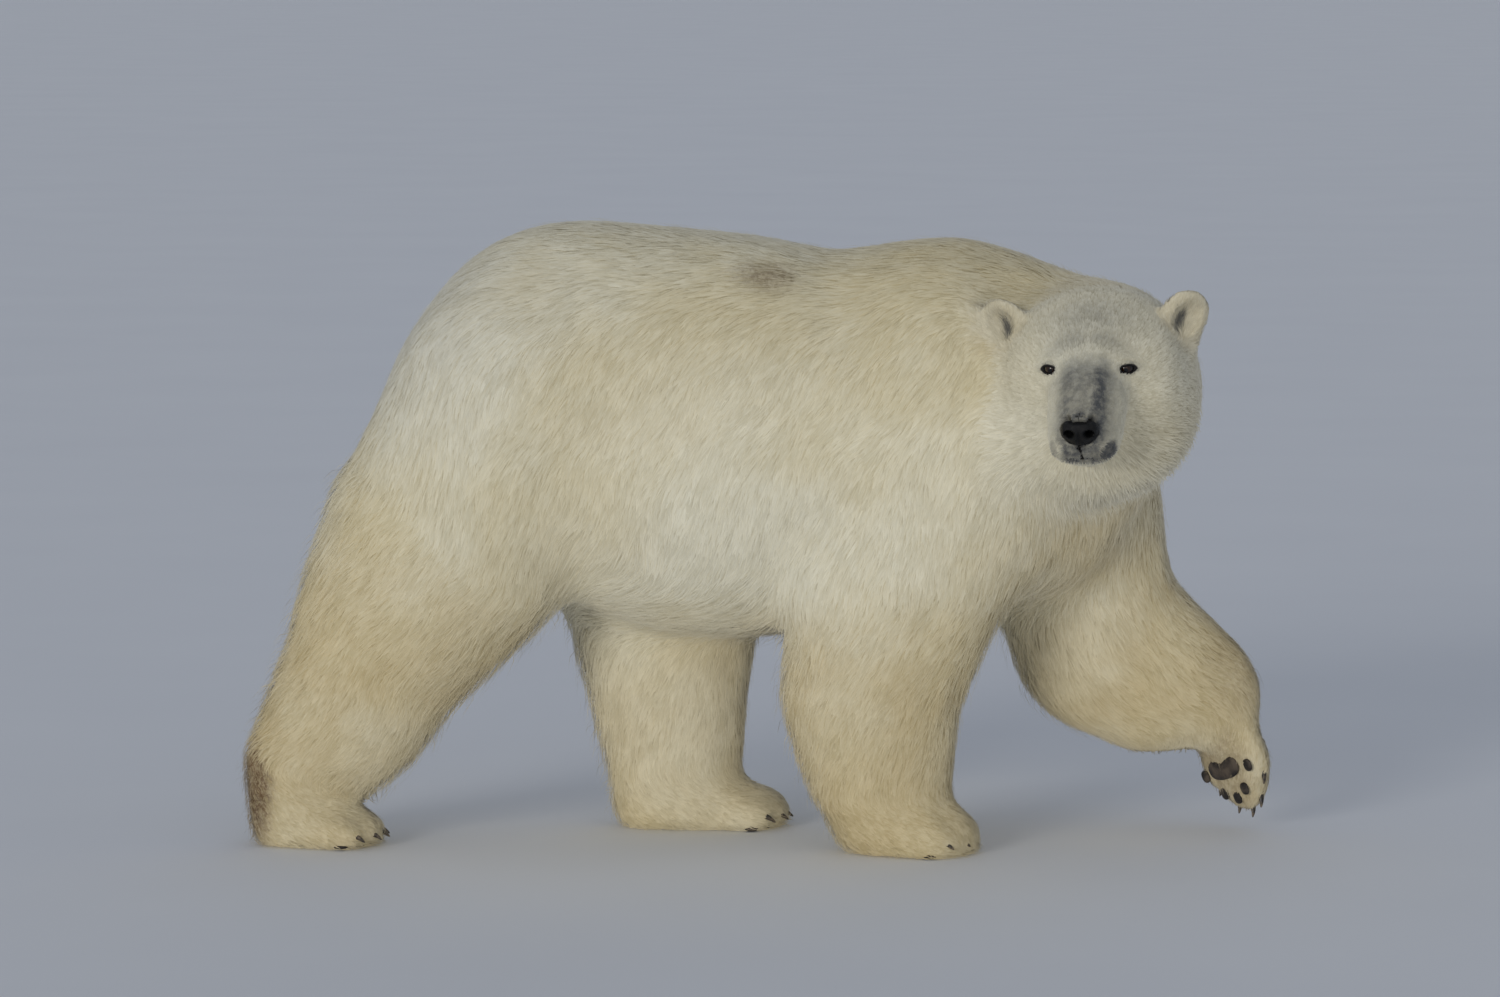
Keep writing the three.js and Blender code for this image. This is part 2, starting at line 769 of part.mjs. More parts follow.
// The origin is the middle of the whole body's box, on the floor.
const extent = new THREE.Box3().setFromObject(group);
const middle = extent.getCenter(new THREE.Vector3());
for (const mesh of group.children) mesh.geometry.translate(-middle.x, -middle.y, -extent.min.z);

export default group;
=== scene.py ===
"""A walking polar bear as a life-size museum model.

One skin covers the animal and lies inside the solids by the coat's depth. Locks of fur stand on it, and the
eyes, lid rims, nose leather, lips, pads and claws are pieces of their own.
"""
import logging
import math
from collections.abc import Callable
from dataclasses import dataclass, field
from enum import Enum

import bmesh
import bpy
import numpy as np
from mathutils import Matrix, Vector
from mathutils.bvhtree import BVHTree
from mathutils.kdtree import KDTree


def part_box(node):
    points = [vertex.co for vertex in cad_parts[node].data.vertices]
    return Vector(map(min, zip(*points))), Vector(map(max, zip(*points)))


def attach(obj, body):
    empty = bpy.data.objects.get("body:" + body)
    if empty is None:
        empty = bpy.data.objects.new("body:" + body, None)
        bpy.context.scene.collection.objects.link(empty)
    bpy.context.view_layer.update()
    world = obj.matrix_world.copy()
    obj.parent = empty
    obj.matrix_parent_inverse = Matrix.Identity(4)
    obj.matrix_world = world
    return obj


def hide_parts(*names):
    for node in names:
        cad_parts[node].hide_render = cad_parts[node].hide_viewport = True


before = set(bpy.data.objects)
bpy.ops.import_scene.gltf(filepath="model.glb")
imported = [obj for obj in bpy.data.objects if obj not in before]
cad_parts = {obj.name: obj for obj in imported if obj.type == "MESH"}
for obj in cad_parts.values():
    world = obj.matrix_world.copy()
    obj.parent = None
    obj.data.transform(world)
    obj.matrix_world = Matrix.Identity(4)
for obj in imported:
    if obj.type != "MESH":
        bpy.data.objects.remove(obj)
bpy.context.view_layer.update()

log = logging.getLogger("polar_bear")
MM = 0.001
MIDDLE = np.array([20.62, -121.09, 0.0])  # the model's middle in the drawing's millimetres
SIDES = {"left": 1, "right": -1}
TINTS = ("face", "dusk", "bare", "stain", "ochre", "pale")  # what the markings read at each point


def unit(values: np.ndarray) -> np.ndarray:
    """Scale each vector to length one."""
    length = np.linalg.norm(values, axis=-1, keepdims=True)
    return values / np.maximum(length, 1e-12)


def ease(values: np.ndarray, low: float, high: float) -> np.ndarray:
    """Rise smoothly from 0 at low to 1 at high, or fall if high is the smaller."""
    t = np.clip((values - low) / (high - low), 0.0, 1.0)
    return t * t * (3 - 2 * t)


def bell(values: np.ndarray, middle: float, half: float) -> np.ndarray:
    """One at the middle, fading to nothing at about twice the half width."""
    return np.exp(-(((values - middle) / half) ** 2))


def across(values: np.ndarray, normals: np.ndarray) -> np.ndarray:
    """Lay vectors flat on the surface that the normals stand on."""
    return unit(values - normals * (values * normals).sum(-1, keepdims=True))


@dataclass(frozen=True)
class Spot:
    """An egg-shaped region round a point.

    Attributes:
        middle: its middle.
        half: its half sizes along x, y and z.
    """

    middle: tuple[float, float, float]
    half: tuple[float, float, float]

    def out_of(self, points: np.ndarray) -> np.ndarray:
        """How far out each point is: nothing in the middle and one on the region's edge."""
        return np.linalg.norm((points - self.middle) / self.half, axis=1)

    def glow(self, points: np.ndarray) -> np.ndarray:
        """One in the middle, fading to nothing at about twice the half sizes."""
        return np.exp(-(((points - self.middle) / self.half) ** 2).sum(1))


@dataclass(frozen=True)
class Patch(Spot):
    """A soft-edged mark.

    Attributes:
        rim: how far out it begins, where one is the region's edge.
        core: how far out it reaches its full strength.
        strength: that full strength.
    """

    rim: float = 1.3
    core: float = 0.7
    strength: float = 1.0

    def mark(self, points: np.ndarray) -> np.ndarray:
        """How strong the mark is at each point."""
        return ease(self.out_of(points), self.rim, self.core) * self.strength


@dataclass(frozen=True)
class Place:
    """A point with its own directions, x forward, y left and z up.

    Attributes:
        origin: the point, in the drawing's millimetres.
        forward: the way that x runs.
        upward: the way that z leans.
    """

    origin: tuple[float, float, float]
    forward: tuple[float, float, float]
    upward: tuple[float, float, float] = (0.0, 0.0, 1.0)

    def axes(self) -> np.ndarray:
        """The place's own directions.

        Returns:
            Forward, left and up, one in each row.
        """
        x = unit(np.array(self.forward, float))
        y = unit(np.cross(np.array(self.upward, float), x))
        return np.array([x, y, np.cross(x, y)])

    def out(self, local: np.ndarray) -> np.ndarray:
        """Millimetres in this place become metres in the model."""
        return (np.asarray(local, float) @ self.axes() + np.array(self.origin) - MIDDLE) * MM

    def into(self, points: np.ndarray) -> np.ndarray:
        """Metres in the model become millimetres in this place."""
        return (np.asarray(points, float) / MM + MIDDLE - np.array(self.origin)) @ self.axes().T

    def within(self, inner: "Place") -> "Place":
        """A place given inside this one.

        Args:
            inner: the place, measured along this one's directions.

        Returns:
            The same place in the drawing.
        """
        axes = self.axes()
        origin = np.array(inner.origin) @ axes + np.array(self.origin)
        turned = [tuple(np.array(v, float) @ axes) for v in (inner.forward, inner.upward)]
        return Place(tuple(origin), turned[0], turned[1])


HEAD = Place((652, -388, 938), (-0.075, -0.94, -0.342), (-0.022, 0, 1))
TAIL = Place((-590, 0, 905), (-92, 0, -137))
EARS = {
    side: HEAD.within(Place(spot, (0.9, SIDES[side] * 0.38, -0.05), (-0.12, SIDES[side] * 0.42, 1)))
    for side, spot in {"left": (-168, 158, 20), "right": (-154, -165, 13)}.items()
}


@dataclass(frozen=True)
class Leg:
    """One leg: the line down its middle, and the place of its sole.

    Attributes:
        line: points from the shoulder or hip to the ankle, in the drawing's millimetres.
        sole: the paw's place, x to the toes and z out of the back of the paw.
        toe_row: how far ahead of the sole's origin the middle toe is.
        gap: distance between toes.
        arc: how fast the row of toes curves back.
        toe: half length, half width and half height of a toe.
    """

    line: tuple[tuple[float, float, float], ...]
    sole: Place
    toe_row: float
    gap: float
    arc: float
    toe: tuple[float, float, float]

    def toe_centre(self, i: int) -> tuple[float, float, float]:
        """Middle of the toe i places to the left of the middle one."""
        return (self.toe_row - self.arc * i * i, i * self.gap, self.toe[2] * 0.88)


LEGS = {
    "fore_right": Leg(
        line=((350, -120, 900), (400, -140, 700), (280, -160, 470), (243, -150, 310), (272, -132, 100)),
        sole=Place((292, -130, 0), (1, -0.12, 0)), toe_row=100, gap=39, arc=8, toe=(52, 25, 38)),
    "fore_left": Leg(
        line=((450, 120, 860), (570, 160, 640), (668, 180, 356), (775, 182, 300), (872, 178, 272)),
        sole=Place((857, 172, 238), (0.38, -0.06, -0.92), (0.66, 0.62, 0.3)),
        toe_row=182, gap=34, arc=14, toe=(46, 23, 32)),
    "hind_right": Leg(
        line=((-430, -120, 820), (-560, -145, 580), (-650, -148, 440), (-748, -145, 262), (-838, -138, 150)),
        sole=Place((-842, -136, 0), (1, -0.05, 0)), toe_row=116, gap=36, arc=8, toe=(52, 24, 34)),
    "hind_left": Leg(
        line=((-360, 110, 820), (-200, 140, 560), (-172, 145, 350), (-160, 140, 190), (-152, 138, 110)),
        sole=Place((-150, 138, 0), (1, 0.06, 0)), toe_row=168, gap=36, arc=8, toe=(52, 24, 36)),
}


class Pelt(Enum):
    """The coat's kinds: depth, length and width of a lock and spacing, in millimetres, and looseness."""

    TRUNK = (6.0, 52.0, 2.2, 6.6, 0.12)
    NECK = (6.0, 44.0, 2.1, 6.0, 0.13)
    TAIL = (7.0, 40.0, 2.3, 5.4, 0.18)
    UPPER = (6.5, 48.0, 2.2, 6.3, 0.15)
    LOWER = (6.5, 42.0, 2.1, 5.8, 0.18)
    PAW = (4.5, 22.0, 2.0, 4.5, 0.16)
    HEAD = (4.5, 18.0, 1.5, 4.0, 0.13)
    EAR = (2.4, 12.0, 1.2, 3.0, 0.14)
    RUFF = (7.0, 36.0, 1.9, 5.2, 0.16)
    MUZZLE = (1.6, 6.5, 1.4, 2.6, 0.10)
    LIDS = (1.6, 5.0, 1.2, 2.4, 0.08)
    CUP = (2.6, 20.0, 1.2, 2.6, 0.30)

    @classmethod
    def of(cls, node: str) -> "Pelt":
        """The kind of coat on a solid.

        Args:
            node: the solid's name.

        Returns:
            The kind.
        """
        ends = {"trunk": cls.TRUNK, "neck": cls.NECK, "tail": cls.TAIL, "arm": cls.UPPER, "thigh": cls.UPPER,
                "forearm": cls.LOWER, "shank": cls.LOWER, "paw": cls.PAW, "head": cls.HEAD, "nose": cls.HEAD}
        for end in ("forearm", *ends):
            if node.endswith(end):
                return ends[end]
        return cls.EAR


FLESH = [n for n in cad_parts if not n.startswith(("eye_", "claw_", "nose"))]
WRAPPED = FLESH + ["nose", "eye_left", "eye_right"]


@dataclass
class Graph:
    """Places and joins the nodes of one tree.

    Attributes:
        tree: the tree.
    """

    tree: bpy.types.NodeTree

    def add(self, kind: str, inputs: dict | None = None, **settings: object) -> bpy.types.Node:
        """Place a node.

        Args:
            kind: the node's type, without the word ShaderNode.
            inputs: a value or another node's output for each named or numbered input.
            settings: the node's own settings.

        Returns:
            The new node.
        """
        node = self.tree.nodes.new("ShaderNode" + kind)
        for key, value in settings.items():
            setattr(node, key, value)
        for key, value in (inputs or {}).items():
            if isinstance(value, bpy.types.NodeSocket):
                self.tree.links.new(value, node.inputs[key])
            else:
                node.inputs[key].default_value = value
        return node

    def math(self, operation: str, *values: object, clamp: bool = False) -> bpy.types.NodeSocket:
        """The result of a sum on one to three values."""
        node = self.add("Math", dict(enumerate(values)), operation=operation, use_clamp=clamp)
        return node.outputs[0]

    def mix(self, share: object, first: object, second: object) -> bpy.types.NodeSocket:
        """Two colours mixed."""
        return self.add("Mix", {0: share, 6: first, 7: second}, data_type="RGBA").outputs[2]

    def noise(self, vector: object, scale: float, detail: float = 3.0,
              rough: float = 0.55) -> bpy.types.NodeSocket:
        """Cloudy noise from 0 to 1."""
        inputs = {"Vector": vector, "Scale": scale, "Detail": detail, "Roughness": rough}
        return self.add("TexNoise", inputs).outputs[0]

    def span(self, value: object, low: float, high: float, to_low: float = 0.0,
             to_high: float = 1.0) -> bpy.types.NodeSocket:
        """Stretch a value smoothly from one range to another."""
        inputs = {0: value, 1: low, 2: high, 3: to_low, 4: to_high}
        return self.add("MapRange", inputs, interpolation_type="SMOOTHSTEP").outputs[0]

    def join(self, socket: bpy.types.NodeSocket, target: bpy.types.NodeSocket) -> None:
        """Link an output to an input."""
        self.tree.links.new(socket, target)

    def reading(self, name: str) -> bpy.types.NodeSocket:
        """A number held at each point of the mesh."""
        return self.add("Attribute", attribute_name=name).outputs["Fac"]


Colour = tuple[float, float, float]


def linear(red: float, green: float, blue: float) -> tuple[float, float, float, float]:
    """A display colour from 0 to 255 as the shader's own linear one."""
    tones = [c / 255.0 for c in (red, green, blue)]
    return (*[c / 12.92 if c <= 0.04045 else ((c + 0.055) / 1.055) ** 2.4 for c in tones], 1.0)


class Tone(Enum):
    """The coat's colours as they show, from 0 to 255."""

    CREAM = (231, 224, 197)
    WARM = (224, 212, 175)
    WHITE = (230, 227, 210)
    OCHRE = (203, 185, 142)
    RUST = (128, 96, 58)
    MUD = (112, 100, 84)
    # The grey of bare skin showing through, also used to paint shade on the back, face and ears.
    DUSK = (88, 89, 89)
    BARE = (34, 32, 32)

    def shown(self) -> tuple[float, float, float, float]:
        """The colour as the shader's own linear one."""
        return linear(*self.value)


class Groups:
    """Shader groups that more than one finish uses, each built once."""

    @staticmethod
    def start(name: str, inputs: dict[str, float | None],
              outputs: dict[str, str]) -> tuple[Graph, bpy.types.Node, bpy.types.Node]:
        """An empty group with its sockets.

        Args:
            name: the group's name.
            inputs: a starting value for each input, or None for a vector.
            outputs: the kind of each output, Float or Color.

        Returns:
            The group's graph, its input node and its output node.
        """
        tree = bpy.data.node_groups.new(name, "ShaderNodeTree")
        for key, value in inputs.items():
            kind = "Vector" if value is None else "Float"
            socket = tree.interface.new_socket(key, in_out="INPUT", socket_type=f"NodeSocket{kind}")
            if value is not None:
                socket.default_value = value
        for key, kind in outputs.items():
            tree.interface.new_socket(key, in_out="OUTPUT", socket_type=f"NodeSocket{kind}")
        return Graph(tree), tree.nodes.new("NodeGroupInput"), tree.nodes.new("NodeGroupOutput")

    @classmethod
    def markings(cls) -> bpy.types.NodeTree:
        """The coat's colours over the whole animal, from the place on it and the readings held there.

        Returns:
            The group, with an input for the place and one for each of the tints.
        """
        name = "coat markings"
        if name in bpy.data.node_groups:
            return bpy.data.node_groups[name]
        inputs = {"Vector": None, **{key.capitalize(): 0.0 for key in TINTS}}
        g, start, end = cls.start(name, inputs, {"Color": "Color"})
        spot = start.outputs["Vector"]
        white, warm = Tone.WHITE.shown(), Tone.WARM.shown()
        broad = g.noise(spot, 2.3, 2.0)
        middle = g.noise(spot, 9.0, 3.0)
        tone = g.mix(g.span(broad, 0.38, 0.64), Tone.CREAM.shown(), warm)
        tone = g.mix(g.span(middle, 0.45, 0.75, 0.0, 0.3), tone, warm)
        tone = g.mix(start.outputs["Pale"], tone, white)
        patchy = g.span(g.noise(spot, 6.0, 3.0), 0.3, 0.7, 0.6, 1.1)
        ochre = g.math("MULTIPLY", start.outputs["Ochre"], patchy, clamp=True)
        tone = g.mix(ochre, tone, Tone.OCHRE.shown())
        tone = g.mix(g.math("MULTIPLY", start.outputs["Face"], 0.42), tone, white)
        fleck = g.span(g.noise(spot, 95.0, 3.0, 0.7), 0.42, 0.6, 0.55, 1.0)
        # Rust and mud for the stains; the same colours paint shade on the raised forearm's shin.
        dirt_and_shade = g.mix(g.noise(spot, 30.0, 2.0), Tone.RUST.shown(), Tone.MUD.shown())
        tone = g.mix(g.math("MULTIPLY", start.outputs["Stain"], fleck), tone, dirt_and_shade)
        blotch = g.span(g.noise(spot, 70.0, 5.0, 0.65), 0.3, 0.7, 0.78, 1.14)
        dusk = g.math("MULTIPLY", start.outputs["Dusk"], blotch, clamp=True)
        tone = g.mix(dusk, tone, Tone.DUSK.shown())
        tone = g.mix(start.outputs["Bare"], tone, Tone.BARE.shown())
        g.join(tone, end.inputs["Color"])
        return g.tree

    @classmethod
    def grain(cls) -> bpy.types.NodeTree:
        """Pebbled leather: small cells with creases between them, for the nose, lid rims and pads.

        Returns:
            The group, with an input for the place and one for the scale of the cells and of the creases.
        """
        name = "leather grain"
        if name in bpy.data.node_groups:
            return bpy.data.node_groups[name]
        g, start, end = cls.start(
            name, {"Vector": None, "Cells": 400.0, "Creases": 60.0}, {"Height": "Float", "Wear": "Float"})
        spot = start.outputs["Vector"]
        inputs = {"Vector": spot, "Scale": start.outputs["Cells"]}
        cells = g.add("TexVoronoi", inputs, feature="DISTANCE_TO_EDGE")
        pebble = g.span(cells.outputs[0], 0.0, 0.28)
        inputs = {"Vector": spot, "Scale": start.outputs["Creases"], "Detail": 4.0}
        fold = g.add("TexNoise", inputs).outputs[0]
        g.join(g.math("MULTIPLY_ADD", fold, 0.6, pebble), end.inputs["Height"])
        g.join(g.span(fold, 0.4, 0.7), end.inputs["Wear"])
        return g.tree


@dataclass(frozen=True)
class Finish:
    """A surface.

    Attributes:
        name: the material's name.
        rough: its roughness, or the middle of its range.
    """

    name: str
    rough: float = 0.6

    def material(self) -> bpy.types.Material:
        """Build the material once and hand it out again after that.

        Returns:
            The material.
        """
        made = bpy.data.materials.get(self.name)
        if made is None:
            made = bpy.data.materials.new(self.name)
            made.use_nodes = True
            made.node_tree.nodes.clear()
            graph = Graph(made.node_tree)
            shader = graph.add("BsdfPrincipled", {"Roughness": self.rough})
            out = graph.add("OutputMaterial")
            made.node_tree.links.new(shader.outputs[0], out.inputs[0])
            self.dress(graph, shader)
        return made

    def dress(self, g: Graph, shader: bpy.types.Node) -> None:
        """Join the pattern's nodes to the shader."""
        raise NotImplementedError

    @staticmethod
    def place(g: Graph) -> bpy.types.NodeSocket:
        """The place on the object."""
        return g.add("TexCoord").outputs["Object"]

    @staticmethod
    def bump(g: Graph, shader: bpy.types.Node, height: object, strength: float, distance: float) -> None:
        """Give the shader a fine relief."""
        node = g.add("Bump", {"Height": height, "Strength": strength, "Distance": distance})
        g.join(node.outputs[0], shader.inputs["Normal"])


@dataclass(frozen=True)
class FurFinish(Finish):
    """Skin or locks, with the animal's markings.

    Attributes:
        locks: whether it is the coat's locks, which pale towards their tips, and not the skin under them.
        depth: painted shade deep in the coat: how dark the roots and the skin are, as a share of the colour.
        sheen: the soft light along the outline.
    """

    locks: bool = True
    depth: float = 0.93
    sheen: float = 0.2

    def dress(self, g: Graph, shader: bpy.types.Node) -> None:
        """Colour from the markings, each lock a little apart from its neighbours.

        Args:
            g: the material's nodes.
            shader: the shader that they dress.
        """
        spot = self.place(g)
        group = g.add("Group", node_tree=Groups.markings())
        g.join(spot, group.inputs["Vector"])
        for key in TINTS:
            g.join(g.reading(key), group.inputs[key.capitalize()])
        if self.locks:
            # Strands run along a lock, and each lock reads another part of the noise.
            along, shade, side = g.reading("along"), g.reading("shade"), g.reading("side")
            lane = g.add("CombineXYZ", {
                0: g.math("MULTIPLY_ADD", shade, 43.0, g.math("MULTIPLY", side, 1.7)),
                1: g.math("MULTIPLY", along, 1.4), 2: g.math("MULTIPLY", shade, 71.0)})
            strand = g.noise(lane.outputs[0], 1.6, 2.0, 0.6)
            # Painted shade: the locks darken towards their roots.
            value = g.span(along, 0.0, 0.75, self.depth, 1.0)
            value = g.math("MULTIPLY", value, g.span(shade, 0.0, 1.0, 0.90, 1.07))
            value = g.math("MULTIPLY", value, g.span(strand, 0.3, 0.7, 0.94, 1.05))
        else:
            strand = g.noise(spot, 420.0, 2.0, 0.7)
            # Painted shade: the skin under the locks is darker by the depth.
            value = g.span(strand, 0.3, 0.7, 0.94 * self.depth, 1.05 * self.depth)
        bright = g.add("HueSaturation", {"Value": value, "Color": group.outputs["Color"]})
        g.join(g.span(value, 0.8, 1.05, 1.10, 0.96), bright.inputs["Saturation"])
        g.join(bright.outputs[0], shader.inputs["Base Color"])
        low, high = self.rough - 0.08, self.rough + 0.08
        g.join(g.span(strand, 0.3, 0.7, high, low), shader.inputs["Roughness"])
        shader.inputs["Sheen Weight"].default_value = self.sheen
        shader.inputs["Sheen Roughness"].default_value = 0.4
        shader.inputs["Specular IOR Level"].default_value = 0.25
        self.bump(g, shader, strand, 0.3, 0.0006)


@dataclass(frozen=True)
class LeatherFinish(Finish):
    """Bare dark skin: nose leather, lid rims and pads.

    Attributes:
        dark: its colour.
        worn: its colour where it is worn.
        cells: how many pebbles there are in a metre.
        relief: how strongly the pebbles stand out.
        coat: how wet it is.
        shine: how strongly it reflects.
    """

    dark: Colour = (8, 8, 8)
    worn: Colour = (20, 19, 19)
    cells: float = 520.0
    relief: float = 0.5
    coat: float = 0.0
    shine: float = 0.3

    def dress(self, g: Graph, shader: bpy.types.Node) -> None:
        """Pebbles and creases, lighter where the leather is worn.

        Args:
            g: the material's nodes.
            shader: the shader that they dress.
        """
        group = g.add("Group", node_tree=Groups.grain())
        g.join(self.place(g), group.inputs["Vector"])
        group.inputs["Cells"].default_value = self.cells
        group.inputs["Creases"].default_value = self.cells / 8
        wear = group.outputs["Wear"]
        g.join(g.mix(wear, linear(*self.dark), linear(*self.worn)), shader.inputs["Base Color"])
        low, high = self.rough - 0.08, self.rough + 0.12
        g.join(g.span(wear, 0.0, 1.0, low, high), shader.inputs["Roughness"])
        shader.inputs["Coat Weight"].default_value = self.coat
        shader.inputs["Coat Roughness"].default_value = 0.25
        shader.inputs["Specular IOR Level"].default_value = self.shine
        self.bump(g, shader, group.outputs["Height"], self.relief, 0.0006)


@dataclass(frozen=True)
class EyeFinish(Finish):
    """A wet, dark brown eye with a black pupil."""

    def dress(self, g: Graph, shader: bpy.types.Node) -> None:
        """Rings round the way the eye looks, from the angle held at each point.

        Args:
            g: the material's nodes.
            shader: the shader that they dress.
        """
        angle = g.reading("angle")
        flecks = g.noise(self.place(g), 900.0, 4.0)
        iris = g.mix(g.span(flecks, 0.35, 0.7), linear(26, 16, 9), linear(58, 36, 18))
        tone = g.mix(g.span(angle, 0.60, 0.78), iris, linear(12, 9, 8))
        tone = g.mix(g.span(angle, 1.05, 1.2), tone, linear(60, 50, 42))
        tone = g.mix(g.span(angle, 0.24, 0.28), linear(4, 4, 5), tone)
        g.join(tone, shader.inputs["Base Color"])
        shader.inputs["Coat Weight"].default_value = 0.45
        shader.inputs["Coat Roughness"].default_value = 0.03
        shader.inputs["Specular IOR Level"].default_value = 0.2
        self.bump(g, shader, flecks, 0.05, 0.0003)


@dataclass(frozen=True)
class HornFinish(Finish):
    """Claw horn: near black at the root, with pale streaks towards a worn tip."""

    def dress(self, g: Graph, shader: bpy.types.Node) -> None:
        """Streaks along the claw, from the share of its length held at each point.

        Args:
            g: the material's nodes.
            shader: the shader that they dress.
        """
        streak = g.noise(self.place(g), 160.0, 4.0, 0.6)
        fade = g.math("MULTIPLY", g.span(g.reading("along"), 0.2, 1.0), g.span(streak, 0.35, 0.7))
        g.join(g.mix(fade, linear(28, 25, 23), linear(122, 106, 84)), shader.inputs["Base Color"])
        low, high = self.rough - 0.1, self.rough + 0.15
        g.join(g.span(streak, 0.3, 0.7, low, high), shader.inputs["Roughness"])
        self.bump(g, shader, streak, 0.3, 0.0006)


@dataclass(frozen=True)
class FloorFinish(Finish):
    """The plain pale floor, faintly clouded."""

    def dress(self, g: Graph, shader: bpy.types.Node) -> None:
        """A very soft change of tone."""
        cloud = g.noise(self.place(g), 1.2, 2.0)
        g.join(g.mix(cloud, linear(222, 224, 228), linear(228, 230, 233)), shader.inputs["Base Color"])


COAT = FurFinish("coat_fur", 0.72)
SKIN = FurFinish("skin_under_fur", 0.8, locks=False, depth=0.95, sheen=0.0)
NOSE_LEATHER = LeatherFinish("bare_nose", 0.42, (10, 10, 10), (22, 21, 21), shine=0.22)
PAD_LEATHER = LeatherFinish("pad_leather", 0.62, (38, 34, 32), (92, 82, 72), cells=300.0, relief=0.7)
RIM_LEATHER = LeatherFinish(
    "rim_leather", 0.42, (10, 9, 9), (22, 20, 19), cells=900.0, relief=0.3, coat=0.1, shine=0.1)
EYE = EyeFinish("wet_eye", 0.12)
HORN = HornFinish("claw_horn", 0.4)


def piece(name: str, mesh: bpy.types.Mesh, finish: Finish, nodes: list[str]) -> bpy.types.Object:
    """Put a finished mesh in the scene.

    Args:
        name: the piece's name.
        mesh: its mesh, in the model's frame.
        finish: its surface.
        nodes: the solids that it stands for.

    Returns:
        The new object.
    """
    mesh.materials.clear()
    mesh.materials.append(finish.material())
    made = bpy.data.objects.new(name, mesh)
    bpy.context.scene.collection.objects.link(made)
    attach(made, "root")
    if nodes:
        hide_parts(*nodes)
    mesh.calc_loop_triangles()
    log.info("%s: %d triangles", name, len(mesh.loop_triangles))
    return made


def merged(names: list[str]) -> bmesh.types.BMesh:
    """Copy some solids into one bmesh and join their loose triangles.

    Args:
        names: the solids.

    Returns:
        The bmesh, in the model's frame.
    """
    bm = bmesh.new()
    for name in names:
        bm.from_mesh(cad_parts[name].data)
    bmesh.ops.remove_doubles(bm, verts=bm.verts, dist=1e-5)
    bm.normal_update()
    return bm


def modified(bm: bmesh.types.BMesh, kind: str, **settings: object) -> bmesh.types.BMesh:
    """A bmesh after a modifier.

    Args:
        bm: the shape, which is freed.
        kind: the modifier's type.
        settings: the modifier's settings.

    Returns:
        The changed shape.
    """
    source = bpy.data.meshes.new("source")
    bm.to_mesh(source)
    bm.free()
    holder = bpy.data.objects.new("source", source)
    bpy.context.scene.collection.objects.link(holder)
    modifier = holder.modifiers.new("change", kind)
    for key, value in settings.items():
        setattr(modifier, key, value)
    shown = holder.evaluated_get(bpy.context.evaluated_depsgraph_get())
    result = bmesh.new()
    result.from_mesh(shown.to_mesh())
    shown.to_mesh_clear()
    bpy.data.objects.remove(holder)
    bpy.data.meshes.remove(source)
    return result


def remeshed(bm: bmesh.types.BMesh, voxel: float) -> bmesh.types.BMesh:
    """One closed surface round everything in a bmesh, in even squares."""
    return modified(bm, "REMESH", mode="VOXEL", voxel_size=voxel, adaptivity=0.0)


def written(name: str, points: np.ndarray, counts: np.ndarray, corners: np.ndarray) -> bpy.types.Mesh:
    """Make a mesh from arrays.

    Args:
        name: the mesh's name.
        points: one row for each point.
        counts: how many corners each face has.
        corners: the point at each corner, face after face.

    Returns:
        The mesh, shaded smooth.
    """
    mesh = bpy.data.meshes.new(name)
    mesh.vertices.add(len(points))
    mesh.vertices.foreach_set("co", np.ascontiguousarray(points, np.float32).ravel())
    mesh.loops.add(len(corners))
    mesh.loops.foreach_set("vertex_index", np.ascontiguousarray(corners, np.int32))
    mesh.polygons.add(len(counts))
    starts = np.concatenate([[0], np.cumsum(counts)[:-1]])
    mesh.polygons.foreach_set("loop_start", starts.astype(np.int32))
    mesh.update(calc_edges=True)
    mesh.shade_smooth()
    return mesh


